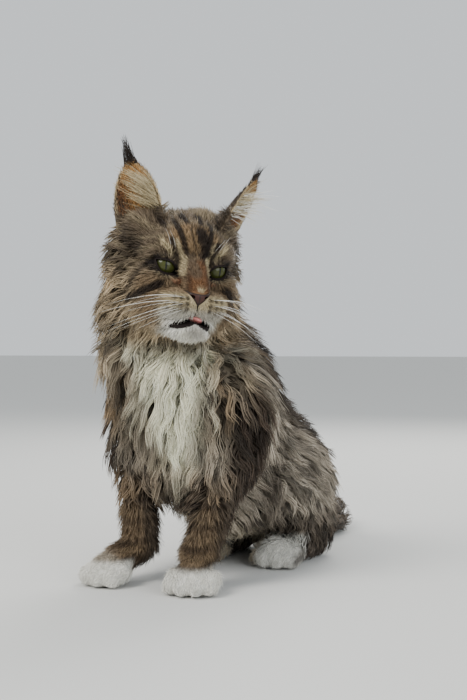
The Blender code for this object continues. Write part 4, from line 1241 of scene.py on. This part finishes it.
# %% Unwrap of the skin
bpy.context.view_layer.objects.active = skin
skin.select_set(True)
skin.data.uv_layers.new(name="OFBake")
bpy.ops.object.mode_set(mode="EDIT")
bpy.ops.mesh.select_all(action="SELECT")
bpy.ops.uv.smart_project(angle_limit=math.radians(66), island_margin=0.001)
bpy.ops.object.mode_set(mode="OBJECT")
print("unwrapped", len(skin.data.uv_layers["OFBake"].data), "corners")

# %% [markdown]
# ## Eyes, nose and tongue
# A cat's eye is nearly all iris. It is painted on the ball as rings round the direction of its gaze: a
# narrow upright pupil, olive green that is lighter near it, and a dark rim. A clear coat gives the wet
# highlight. Nose leather is bare, fine-grained and a little moist, and the tongue is wet.

# %% Colours of the eyes
IRIS_INNER = (0.046, 0.050, 0.010)
IRIS_OUTER = (0.022, 0.026, 0.006)
PUPIL = (0.006, 0.007, 0.004)
IRIS_EDGE = 0.0098
PUPIL_HALF_WIDTH, PUPIL_HALF_HEIGHT = 0.0011, 0.0064


def eye_colours(side):
    """An upright slit in a streaked iris with a dark rim."""
    middle, look, out, up = eye_frame(side)
    away = mesh_points(eyes[side].data) - middle
    across, rise = away @ out, away @ up
    ring = np.hypot(across, rise)
    colours = np.tile(np.array(IRIS_INNER), (len(away), 1))
    angle = np.arctan2(rise, across)
    streaks = 0.5 + 0.25 * np.sin(23 * angle) + 0.25 * np.sin(37 * angle + 1.7)
    colours = paint(colours, IRIS_OUTER, smooth(ring, 0.003, 0.0088) * (0.65 + 0.35 * streaks))
    slit = np.hypot(across / PUPIL_HALF_WIDTH, rise / PUPIL_HALF_HEIGHT)
    colours = paint(colours, PUPIL, below(slit, 0.75, 1.15))
    colours = paint(colours, BARE_DARK, smooth(ring, IRIS_EDGE - 0.0012, IRIS_EDGE))
    return np.where(((away @ look) < 0)[:, None], np.array(BARE_DARK), colours)


wet_eye = coloured_material("wet eye", 0.25, 0.15, coat=0.28)
for side, word in ((1, "left"), (-1, "right")):
    eyes[side].data.materials.append(wet_eye)
    set_colours(eyes[side].data, eye_colours(side))
    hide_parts("eye_" + word)
    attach(eyes[side], "root")

# %% Nose and tongue
NOSE_MIDDLE = (0.048, 0.017, 0.012)
NOSE_RIM = (0.012, 0.006, 0.004)
TONGUE_PINK = (0.62, 0.22, 0.20)


def nose_colours():
    """Brick red, darker along the leather's edges and in its middle furrow."""
    places = in_head(mesh_points(nose.data))
    aside, up = np.abs(places[:, 1]), places[:, 2]
    from_sides = (up - NOSE_POINT) - aside * (NOSE_TOP - NOSE_POINT) / NOSE_HALF_WIDTH
    rim = np.minimum(NOSE_TOP - up, from_sides)
    colours = np.tile(np.array(NOSE_MIDDLE), (len(places), 1))
    colours = paint(colours, NOSE_RIM, below(rim, 0.0006, 0.0024))
    return paint(colours, NOSE_RIM, below(aside, 0.0002, 0.0009))


nose.data.shade_smooth()
nose.data.materials.clear()
set_colours(nose.data, nose_colours())
nose.data.materials.append(coloured_material("nose leather", 0.45, 0.3, bump=0.5, bump_size=0.0007))
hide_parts("nose")
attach(nose, "root")
tongue.data.materials.append(plain_material("tongue", TONGUE_PINK, 0.3))
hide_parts("tongue")
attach(tongue, "root")
print("eyes, nose and tongue are painted")

# %% [markdown]
# ## The coat
# Every hair that can be seen is a closed, tapered blade of three sides. Long hair grows in locks: a guide
# line creeps over the body along the lie of the coat, rises through the coat's depth and waves, and a dozen
# or so blades gather towards its tip. Short hair stands on its own. All blades of one area are joined into
# one mesh, built from arrays, and each blade carries its colours and its root's place on the skin's unwrap.

# %% Roots scattered over the skin
COAT_SEED = 5
chance = np.random.default_rng(COAT_SEED)


class Roots:
    """Places where hairs grow: point, outward direction, place on the unwrap."""

    def __init__(self, points, normals, flat):
        self.points, self.normals, self.flat = points, normals, flat

    def __len__(self):
        return len(self.points)

    def only(self, keep):
        return Roots(self.points[keep], self.normals[keep], self.flat[keep])


def read_skin():
    mesh = skin.data
    corners = np.empty(len(mesh.polygons) * 3, int)
    mesh.loops.foreach_get("vertex_index", corners)
    flat = np.empty(len(corners) * 2)
    mesh.uv_layers["OFBake"].data.foreach_get("uv", flat)
    return mesh_points(mesh), vertex_normals(mesh), corners.reshape(-1, 3), flat.reshape(-1, 3, 2)


SKIN_POINTS, SKIN_NORMALS, SKIN_FACES, SKIN_FLAT = read_skin()
FACE_MIDDLES = SKIN_POINTS[SKIN_FACES].mean(axis=1)
SPANS = SKIN_POINTS[SKIN_FACES]
FACE_AREAS = np.linalg.norm(np.cross(SPANS[:, 1] - SPANS[:, 0], SPANS[:, 2] - SPANS[:, 0]), axis=1) / 2


def scatter(count, weights):
    """Roots spread at random over the skin, with faces chosen by area times weight."""
    share = FACE_AREAS * weights
    chosen = chance.choice(len(share), size=count, p=share / share.sum())
    a, b = chance.random(count), chance.random(count)
    over = a + b > 1.0
    a[over], b[over] = 1.0 - a[over], 1.0 - b[over]
    mix = np.stack([1.0 - a - b, a, b], axis=1)[:, :, None]
    normals = (SKIN_NORMALS[SKIN_FACES[chosen]] * mix).sum(axis=1)
    normals /= np.linalg.norm(normals, axis=1)[:, None]
    points = (SKIN_POINTS[SKIN_FACES[chosen]] * mix).sum(axis=1)
    return Roots(points, normals, (SKIN_FLAT[chosen] * mix).sum(axis=1))


SOLE = 0.0035  # the sole is bare up to this height


def bare(points):
    """True where no hair grows: eyes, the lids' rims, nose, mouth, the groove between them and soles."""
    places = in_head(points)
    ahead, left, up = places.T
    share = np.clip((up - NOSE_POINT) / (NOSE_TOP - NOSE_POINT), 0.0, 1.0)
    on_nose = np.abs(left) < NOSE_HALF_WIDTH * share + NOSE_BORDER
    on_nose &= (up > NOSE_POINT) & (up < NOSE_TOP + 0.0004) & (ahead > NOSE_BACK)
    found = (off_almond(points) < 0.0012) | in_mouth(places, 0.0006) | on_nose | in_groove(places, 0.0008)
    return found | (points[:, 2] < SOLE)


ear_faces = on_ear(FACE_MIDDLES, 1)[2] | on_ear(FACE_MIDDLES, -1)[2]
bare_faces = bare(FACE_MIDDLES)
FACE_HAIR = coat_at(FACE_MIDDLES)[1]  # length of the hair on each face
whole, on_ears = float(FACE_AREAS.sum()), float(FACE_AREAS[ear_faces].sum())
print("skin area", round(whole, 3), "m2, on the ears", round(on_ears, 4))

# %% Blades
BLADE_THICK = 0.55  # height of a blade's section, as a share of its half width
UV_PATCH = 0.003
FLOOR_ROOM = 0.0006


def unit_rows(rows):
    return rows / np.maximum(np.linalg.norm(rows, axis=1), 1e-12)[:, None]


def blades(name, paths, half_widths, normals, colours, flat):
    """One mesh of closed blades along paths (blade, station, 3), the last station being the tip."""
    count, stations = paths.shape[:2]
    rings = stations - 1
    vertices = np.empty((count, 3 * rings + 1, 3))
    tones = np.empty((count, 3 * rings + 1, 3))
    for k in range(rings):
        way = unit_rows(paths[:, k + 1] - paths[:, max(k - 1, 0)])
        across = unit_rows(np.cross(way, normals))
        above = np.cross(across, way)
        half = half_widths[:, k : k + 1]
        vertices[:, 3 * k] = paths[:, k] + across * half
        vertices[:, 3 * k + 1] = paths[:, k] + above * half * BLADE_THICK * 2
        vertices[:, 3 * k + 2] = paths[:, k] - across * half
        tones[:, 3 * k : 3 * k + 3] = colours[:, k : k + 1]
    vertices[:, -1] = paths[:, -1]
    vertices[:, :, 2] = np.maximum(vertices[:, :, 2], FLOOR_ROOM)
    tones[:, -1] = colours[:, -1]

    faces = [(0, 2, 1)]
    for k in range(rings - 1):
        for a, b in ((0, 1), (1, 2), (2, 0)):
            low_a, low_b, high_a, high_b = 3 * k + a, 3 * k + b, 3 * k + 3 + a, 3 * k + 3 + b
            faces += [(low_a, low_b, high_b), (low_a, high_b, high_a)]
    last, tip = 3 * (rings - 1), 3 * rings
    faces += [(last + a, last + b, tip) for a, b in ((0, 1), (1, 2), (2, 0))]
    faces = np.array(faces)
    every = (np.arange(count)[:, None, None] * (3 * rings + 1) + faces[None]).reshape(-1)

    patch = np.array([((i % 3) / 3.0, (i // 3) / rings) for i in range(3 * rings + 1)]) * UV_PATCH
    corners_flat = (flat[:, None, :] + patch[faces.reshape(-1)][None]).reshape(-1)

    mesh = bpy.data.meshes.new(name)
    mesh.vertices.add(count * (3 * rings + 1))
    mesh.vertices.foreach_set("co", vertices.ravel().astype(np.float32))
    mesh.loops.add(len(every))
    mesh.loops.foreach_set("vertex_index", every.astype(np.int32))
    total = count * len(faces)
    mesh.polygons.add(total)
    mesh.polygons.foreach_set("loop_start", np.arange(0, 3 * total, 3, dtype=np.int32))
    mesh.polygons.foreach_set("use_smooth", np.ones(total, dtype=bool))
    mesh.update(calc_edges=True)
    layer = mesh.uv_layers.new(name="OFBake")
    layer.data.foreach_set("uv", corners_flat.astype(np.float32))
    set_colours(mesh, tones.reshape(-1, 3))
    return link(name, mesh)


HAIR = coloured_material("hair", 0.50, specular=0.22)
coat_triangles = 0


def add_coat(name, paths, half_widths, normals, colours, flat):
    global coat_triangles
    if not len(paths):
        return
    made = blades(name, paths, half_widths, normals, colours, flat)
    made.data.materials.append(HAIR)
    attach(made, "root")
    coat_triangles += len(made.data.polygons)
    print(f"{name}: {len(paths)} blades, {len(made.data.polygons)} triangles")


# %% Colours along a blade
def blade_colours(paths, own, root_shade_and_undercoat=0.55, pale_tip=1.12, from_root=0.4):
    """Markings at the stations, mixed with those at the root; own is each blade's share of brightness."""
    count, stations = paths.shape[:2]
    at_root = markings(paths[:, 0])
    at_all = markings(paths.reshape(-1, 3)).reshape(count, stations, 3)
    from_root = np.reshape(from_root, (-1, 1, 1))
    mixed = from_root * at_root[:, None] + (1.0 - from_root) * at_all
    pale = smooth(mixed.mean(axis=(1, 2)), 0.30, 0.60)
    own = own ** (1.0 - 0.75 * pale)
    # roots are darker, partly as painted shade deep in the coat and partly as the grey undercoat; pale hair
    # less so
    root_shade_and_undercoat = 1.0 - (1.0 - root_shade_and_undercoat) * (1.0 - 0.6 * pale[:, None])
    share = np.linspace(0, 1, stations)[None]
    shade = root_shade_and_undercoat + (1.0 - root_shade_and_undercoat) * smooth(share, 0.0, 0.5)
    shade = shade + (pale_tip - 1.0) * smooth(share, 0.6, 1.0)
    return np.clip(mixed * shade[:, :, None] * own[:, None, None], 0.0, 0.92)


# %% Guides of the long coat
LONG_FROM = 0.018  # hair this long and longer grows in locks
GUIDE_STATIONS = 8
LOCK_SPACING = 0.0078
WAVE_LENGTH = 0.034
WAVE_SIZE = 0.75  # how far a wave turns a guide off its lie, as a share of each step


def spaced(roots, room):
    """Keeps roots that lie at least their room from those kept before."""
    cell = float(np.min(room))
    taken = {}
    keep = np.zeros(len(roots), bool)
    cells = np.floor(roots.points / cell).astype(int)
    for i, (place, key) in enumerate(zip(roots.points, map(tuple, cells))):
        reach = int(math.ceil(room[i] / cell))
        steps = product(range(-reach, reach + 1), repeat=3)
        others = (taken.get((key[0] + dx, key[1] + dy, key[2] + dz), ()) for dx, dy, dz in steps)
        gaps = (sum((a - b) ** 2 for a, b in zip(other, place)) for other in chain.from_iterable(others))
        near = any(gap < room[i] ** 2 for gap in gaps)
        if not near:
            keep[i] = True
            taken.setdefault(key, []).append(tuple(place))
    return keep


def guide_paths(roots, lengths, rise, phase, wave):
    """Lines over the body: each follows the lie of the coat and climbs to its share of the coat's depth."""
    at = roots.points.copy()
    stops = [at]
    for k in range(1, GUIDE_STATIONS):
        share = k / (GUIDE_STATIONS - 1)
        lie, _, coat = coat_at(at)
        _, slope = outward(at, 0.0)
        flat = unit_rows(lie - slope * (lie * slope).sum(axis=1)[:, None])
        side = np.cross(slope, flat)
        turn = wave * np.cos(2 * math.pi * (share * lengths / WAVE_LENGTH) + phase)
        step = lengths / (GUIDE_STATIONS - 1)
        at = at + unit_rows(flat + side * turn[:, None]) * step[:, None]
        gap, slope = outward(at, 0.0)
        target = coat * rise * share**0.75
        at = at + slope * np.clip(target - gap, -0.012, 0.012)[:, None]
        at[:, 2] = np.maximum(at[:, 2], 0.0015)
        stops.append(at)
    return np.stack(stops, axis=1)


def under_chest(points):
    """True for places between the forelegs, where loose hair hangs deeper than elsewhere."""
    x, y, z = points.T
    return (np.abs(x) < 0.038) & (y > -0.262) & (y < -0.130) & (z < 0.125)


long_faces = (FACE_HAIR >= LONG_FROM) & ~ear_faces & ~bare_faces
candidates = scatter(16000, long_faces / (0.25 + FACE_HAIR / 0.05))
candidate_hair = coat_at(candidates.points)[1]
keep = spaced(candidates, LOCK_SPACING * (0.45 + 0.55 * candidate_hair / 0.048))
guides = candidates.only(keep)
guide_hair = candidate_hair[keep]
lengths = guide_hair * chance.uniform(0.78, 1.12, len(guides))
rise = chance.uniform(0.55, 1.04, len(guides)) * np.where(under_chest(guides.points), 1.4, 1.0)
phase = chance.uniform(0, 2 * math.pi, len(guides))
wave = WAVE_SIZE * chance.uniform(0.4, 1.3, len(guides))
paths = guide_paths(guides, lengths, rise, phase, wave)
print(len(guides), "guides of long locks")

# %% Blades gathered round the guides
LONG_BLADES = 29000
LONG_WIDTHS = (0.00045, 0.00068, 0.00070, 0.00058, 0.00042, 0.00025)
STATION_SHARES = np.array([0.0, 0.16, 0.34, 0.53, 0.72, 0.88, 1.0])


def nearest(places, points):
    """The number of the place that lies nearest to each point."""
    tree = KDTree(len(places))
    for i, place in enumerate(places):
        tree.insert(place, i)
    tree.balance()
    return np.array([tree.find(point)[1] for point in points])


def at_shares(lines, shares):
    """Points of each line at shares of its length, (blade, station)."""
    spot = np.clip(shares, 0.0, 1.0) * (lines.shape[1] - 1)
    low = np.minimum(spot.astype(int), lines.shape[1] - 2)
    rows = np.arange(len(lines))[:, None]
    mix = (spot - low)[:, :, None]
    return lines[rows, low] * (1.0 - mix) + lines[rows, low + 1] * mix


def closeness(points):
    """How much closer than elsewhere the blades grow: most on the chest and ruff, least low down."""
    x, y, z = points.T
    chest = (y < -0.22) & (np.abs(x) < 0.055) & (z > 0.12) & (z < 0.25)
    chosen = [chest, under_chest(points), z > 0.24, z < 0.09, (x < -0.02) & (y > -0.2)]
    return np.select(chosen, [1.9, 1.4, 1.35, 0.6, 0.75], 1.0)


STREAKS = {0.45: 0.20, 0.80: 0.30, 1.05: 0.32, 1.45: 0.18}  # brightness of a lock, and how common it is


def long_coat():
    """Blades that start near their guide's root and draw close to it towards the tip."""
    roots = scatter(LONG_BLADES, long_faces * closeness(FACE_MIDDLES))
    own = nearest(guides.points, roots.points)
    offset = roots.points - guides.points[own]
    reach = chance.uniform(0.70, 1.0, len(roots))
    shares = STATION_SHARES[None] * reach[:, None]
    lines = at_shares(paths[own], shares)
    gather = 1.0 - 0.62 * STATION_SHARES[None] ** 1.2
    stray = chance.normal(0.0, 0.0018, (len(roots), 3))
    lines = lines + offset[:, None] * gather[:, :, None] + stray[:, None] * STATION_SHARES[None, :, None]
    lines[:, 0] -= roots.normals * 0.0008
    widths = np.tile(LONG_WIDTHS, (len(roots), 1)) * chance.uniform(0.75, 1.25, (len(roots), 1))
    widths /= np.sqrt(np.maximum(closeness(roots.points), 1.0))[:, None]
    streak = chance.choice(list(STREAKS), size=len(guides), p=list(STREAKS.values()))
    streak = streak * chance.uniform(0.88, 1.12, len(guides))
    brightness = streak[own] * chance.uniform(0.80, 1.22, len(roots))
    at_head = np.linalg.norm(in_head(roots.points), axis=1) < 0.080
    tones = blade_colours(lines, brightness, from_root=np.where(at_head, 0.15, 0.28))
    return roots, lines, widths, tones


roots, lines, widths, tones = long_coat()


def areas_of(points):
    """The name of the coat's area that each root belongs to."""
    places = in_head(points)
    x, y, z = points.T
    names = np.full(len(points), "flank_left", dtype=object)
    names[x < 0] = "flank_right"
    names[(y < -0.200) & (x >= 0)] = "shoulder_left"
    names[(y < -0.200) & (x < 0)] = "shoulder_right"
    names[(z > 0.135 - 0.60 * y - 0.030) & (y > -0.215)] = "back"
    names[(z < 0.100) & (np.abs(x) < 0.040) & (y < -0.02)] = "belly"
    names[(y < -0.236) & (np.abs(x) < 0.044)] = "bib"
    names[y > 0.045] = "tail"
    names[(z > 0.245) & (np.linalg.norm(places, axis=1) < 0.105)] = "ruff"
    return names


def add_by_area(roots, lines, widths, tones, areas):
    """One piece of coat for each area, so that none grows too large."""
    for area in sorted(set(areas)):
        own = areas == area
        add_coat("coat_" + area, lines[own], widths[own], roots.normals[own], tones[own], roots.flat[own])


add_by_area(roots, lines, widths, tones, areas_of(roots.points))

# %% [markdown]
# ## Short hair
# On the face, crown, legs and feet the hair is short and lies flat. It is lifted a little off the skin and
# combed away from nose and eyes. The blades are narrow and much closer together than in the long coat.

# %% Short hair
SHORT_BLADES = 40000
PAW_LEVEL = 0.035  # hair that starts lower belongs to the paws


def combed(points, lie):
    """The lie bent away from nose and eyes on the face."""
    bent = lie.copy()
    for centre, reach, strength in (
        (on_head(0.082, 0.0, -0.028), 0.030, 0.9),
        (eye_frame(1)[0] + eye_frame(1)[1] * 0.006, 0.022, 0.9),
        (eye_frame(-1)[0] + eye_frame(-1)[1] * 0.006, 0.022, 0.9),
    ):
        away = points - centre
        far = np.linalg.norm(away, axis=1)
        bent += away / far[:, None] * (strength * below(far, 0.5 * reach, reach))[:, None]
    return bent


def short_lines(roots, lengths, lie, lift):
    """Lines of three stations that leave the skin and lie down along it."""
    flat = unit_rows(lie - roots.normals * (lie * roots.normals).sum(axis=1)[:, None])
    flat = unit_rows(flat + chance.normal(0.0, 0.16, (len(roots), 3)))
    start = roots.points - roots.normals * 0.0004
    middle = start + (flat * 0.50 + roots.normals * lift[:, None] * 0.75) * lengths[:, None]
    tip = start + (flat * 0.98 + roots.normals * lift[:, None]) * lengths[:, None]
    lines = np.stack([start, middle, tip], axis=1)
    lines[:, :, 2] = np.maximum(lines[:, :, 2], 0.0010)
    return lines


def short_coat():
    """Hairs of the face, legs and feet, closer where they are shorter."""
    faces = (FACE_HAIR < LONG_FROM) & ~ear_faces & ~bare_faces
    on_paw = FACE_MIDDLES[:, 2] < PAW_LEVEL
    weights = 0.010 / np.clip(FACE_HAIR, 0.0030, 0.018) * np.where(on_paw, 0.38, 1.0)
    roots = scatter(SHORT_BLADES, faces * weights)
    roots = roots.only(~bare(roots.points))
    lie, hair, coat = coat_at(roots.points)
    lengths = hair * chance.uniform(0.8, 1.15, len(roots))
    lift = np.clip(coat / np.maximum(hair, 1e-4), 0.15, 0.45) * chance.uniform(0.6, 1.15, len(roots))
    lift *= np.where(roots.points[:, 2] < PAW_LEVEL, 0.5, 1.0)
    lines = short_lines(roots, lengths, combed(roots.points, lie), lift)
    half = np.clip(0.00014 + hair * 0.018, 0.00019, 0.00042)
    widths = half[:, None] * np.array([1.0, 0.8]) * chance.uniform(0.8, 1.2, (len(roots), 1))
    # roots darkened to 0.70, by painted shade and the undercoat
    tones = blade_colours(lines, chance.uniform(0.62, 1.34, len(roots)), 0.70, 1.05, 0.25)
    rim = smooth(off_almond(roots.points), 0.0014, 0.0040)
    tones = np.array(BARE_DARK) + (tones - np.array(BARE_DARK)) * rim[:, None, None]
    places = in_head(roots.points)
    areas = np.full(len(roots), "legs_left", dtype=object)
    areas[roots.points[:, 0] < 0] = "legs_right"
    areas[roots.points[:, 2] < PAW_LEVEL] = "paws"
    head = np.linalg.norm(places, axis=1) < 0.105
    areas[head & (roots.points[:, 2] > 0.22)] = "crown"
    areas[head & (places[:, 0] > 0.030) & (roots.points[:, 2] > 0.22)] = "face"
    return roots, lines, widths, tones, areas


add_by_area(*short_coat())

# %% Ear hair
EAR_BLADES = 6500
TUFT_HAIRS, FURNISHING_HAIRS = 90, 280


def ear_coat():
    """Short hair of both ears, along the ear and a little outwards."""
    roots = scatter(EAR_BLADES, ear_faces.astype(float))
    lie = np.zeros((len(roots), 3))
    inner = np.zeros(len(roots), bool)
    for side in (1, -1):
        rise, across, found = on_ear(roots.points, side)
        _, axis, outward_way, facing = ear_frame(side)
        lie[found] = unit(axis) + outward_way * across[found, None] * 0.5
        inner |= found & (roots.normals @ facing > 0)
    lengths = np.where(inner, 0.0050, 0.0065) * chance.uniform(0.8, 1.2, len(roots))
    lines = short_lines(roots, lengths, lie, np.full(len(roots), 0.22))
    colours = ear_colours(roots.points, roots.normals, np.zeros((len(roots), 3)))
    shade = np.array([0.8, 1.0, 1.1])[None, :, None]
    tones = colours[:, None] * shade * chance.uniform(0.7, 1.3, len(roots))[:, None, None]
    widths = np.tile((0.00022, 0.00018), (len(roots), 1))
    add_coat("coat_ears", lines, widths, roots.normals, tones, roots.flat)


def swept(starts, ways, lengths, bend):
    """Curved lines that start one way and bend towards another."""
    shares = STATION_SHARES[None, :, None]
    far = lengths[:, None, None]
    return starts[:, None] + ways[:, None] * far * shares + bend[:, None] * far * shares**2


def nearest_flat(points):
    """Places on the skin's unwrap, near those points."""
    return SKIN_FLAT[nearest(FACE_MIDDLES, points)].mean(axis=1)


def ear_tufts():
    """The dark brush on each tip and the pale hair that sweeps across each cup from its inner edge."""
    all_lines, all_normals, all_tones = [], [], []
    for side in (1, -1):
        ear = ear_frame(side)
        _, axis, outward_way, facing = ear
        brush = on_head(*EARS[side]["tuft"])
        count = TUFT_HAIRS
        starts = ear_point(ear, chance.uniform(0.78, 0.985, count), chance.uniform(-0.8, 0.8, count), 0.5)
        aims = brush + chance.normal(0.0, 0.0024, (count, 3)) - starts
        lengths = np.linalg.norm(aims, axis=1) * chance.uniform(0.45, 1.02, count)
        ways = unit_rows(aims)
        bend = chance.normal(0.0, 0.03, (count, 3))
        all_lines.append(swept(starts, ways, lengths, bend))
        all_normals.append(np.tile(facing, (count, 1)))
        all_tones.append(np.tile(np.array(STRIPE) * 0.9, (count, len(STATION_SHARES), 1)))

        count = FURNISHING_HAIRS
        rise = chance.uniform(0.06, 0.58, count)
        across = -0.90 + 0.60 * chance.random(count) ** 1.5
        starts = ear_point(ear, rise, across, 0.3)
        lengths = chance.uniform(0.014, 0.040, count) * (1.0 - 0.35 * np.clip(rise, 0, 1))
        lengths *= np.where(chance.random(count) < 0.25, 1.35, 0.9)
        aim = unit(axis) * 0.75 + outward_way * 0.42 + facing * 0.58
        ways = unit_rows(aim + chance.normal(0.0, 0.20, (count, 3)))
        bend = outward_way * 0.20 - facing * 0.04 + chance.normal(0.0, 0.05, (count, 3))
        pale = np.array(CREAM)[None] * chance.uniform(0.50, 1.15, (count, 1))
        if side > 0:
            # the far ear is seen from its edge, and a third of its hair stands out past it
            aim = unit(axis) * 0.45 + outward_way * 0.62 + facing * 0.80
            ways[::3] = unit_rows(aim + chance.normal(0.0, 0.16, ways[::3].shape))
            lengths[::3] *= 1.25
            pale[::3] = WHITE
        all_lines.append(swept(starts, ways, lengths, bend))
        all_normals.append(np.tile(facing, (count, 1)))
        all_tones.append(np.repeat(pale[:, None], len(STATION_SHARES), axis=1))
    lines = np.concatenate(all_lines)
    widths = np.tile(LONG_WIDTHS, (len(lines), 1)) * 0.42
    tones = np.concatenate(all_tones)
    add_coat("ear_tufts", lines, widths, np.concatenate(all_normals), tones, nearest_flat(lines[:, 0]))


ear_coat()
ear_tufts()

# %% Whiskers and brow hairs
WHISKER_FRONT = -0.3590  # no whisker reaches further ahead of the solid model than this
WHISKER_COLOUR = (0.86, 0.84, 0.78)
WHISKER_WIDTHS = (0.00021, 0.00021, 0.00019, 0.00016, 0.00013, 0.00009)


def whiskers():
    """Whiskers in rows on both pads and two hairs over each eye, shortened where they reach too far."""
    starts, ways, bends, lengths = [], [], [], []
    for side in (1, -1):
        for row, (level, count) in enumerate(SPOT_ROWS):
            for i in range(count):
                left, up = (0.0125 + 0.0048 * i) * side, level + 0.0004 * i
                starts.append(on_head(face_front(left, up) - 0.0005, left, up))
                fan = 0.10 - 0.20 * row + chance.normal(0.0, 0.05)
                way = np.array([0.42 - 0.16 * i, side, fan])
                ways.append(unit(way @ HEAD))
                bends.append(np.array([-0.30 if side > 0 else -0.55, 0.0, -0.28 + 0.05 * row]) @ HEAD)
                lengths.append(chance.uniform(0.048, 0.072))
        for i in range(2):
            left, up = (0.020 + 0.005 * i) * side, 0.0165 + 0.001 * i
            starts.append(on_head(face_front(left, up) - 0.0005, left, up))
            ways.append(unit(np.array([0.75, 0.35 * side, 0.75 + 0.1 * i]) @ HEAD))
            bends.append(np.array([-0.35, 0.1 * side, 0.0]) @ HEAD)
            lengths.append(chance.uniform(0.022, 0.034))
    starts, ways, bends, lengths = (np.array(values) for values in (starts, ways, bends, lengths))
    ahead = (ways + bends)[:, 1] * lengths
    lengths *= np.minimum(1.0, (WHISKER_FRONT - starts[:, 1]) / np.minimum(ahead, -1e-6))
    lines = swept(starts, ways, lengths, bends)
    widths = np.tile(WHISKER_WIDTHS, (len(lines), 1))
    tones = np.tile(WHISKER_COLOUR, (len(lines), len(STATION_SHARES), 1))
    add_coat("whiskers", lines, widths, np.tile(HEAD[2], (len(lines), 1)), tones, nearest_flat(starts))


whiskers()
print("coat:", coat_triangles, "triangles")

# %% Sizes of both boxes
DRESSED_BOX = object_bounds()
boxes = {"cad": [list(corner) for corner in CAD_BOX], "scene": [list(corner) for corner in DRESSED_BOX]}
for word, box in boxes.items():
    print(word, [round(high - low, 4) for low, high in zip(*box)])
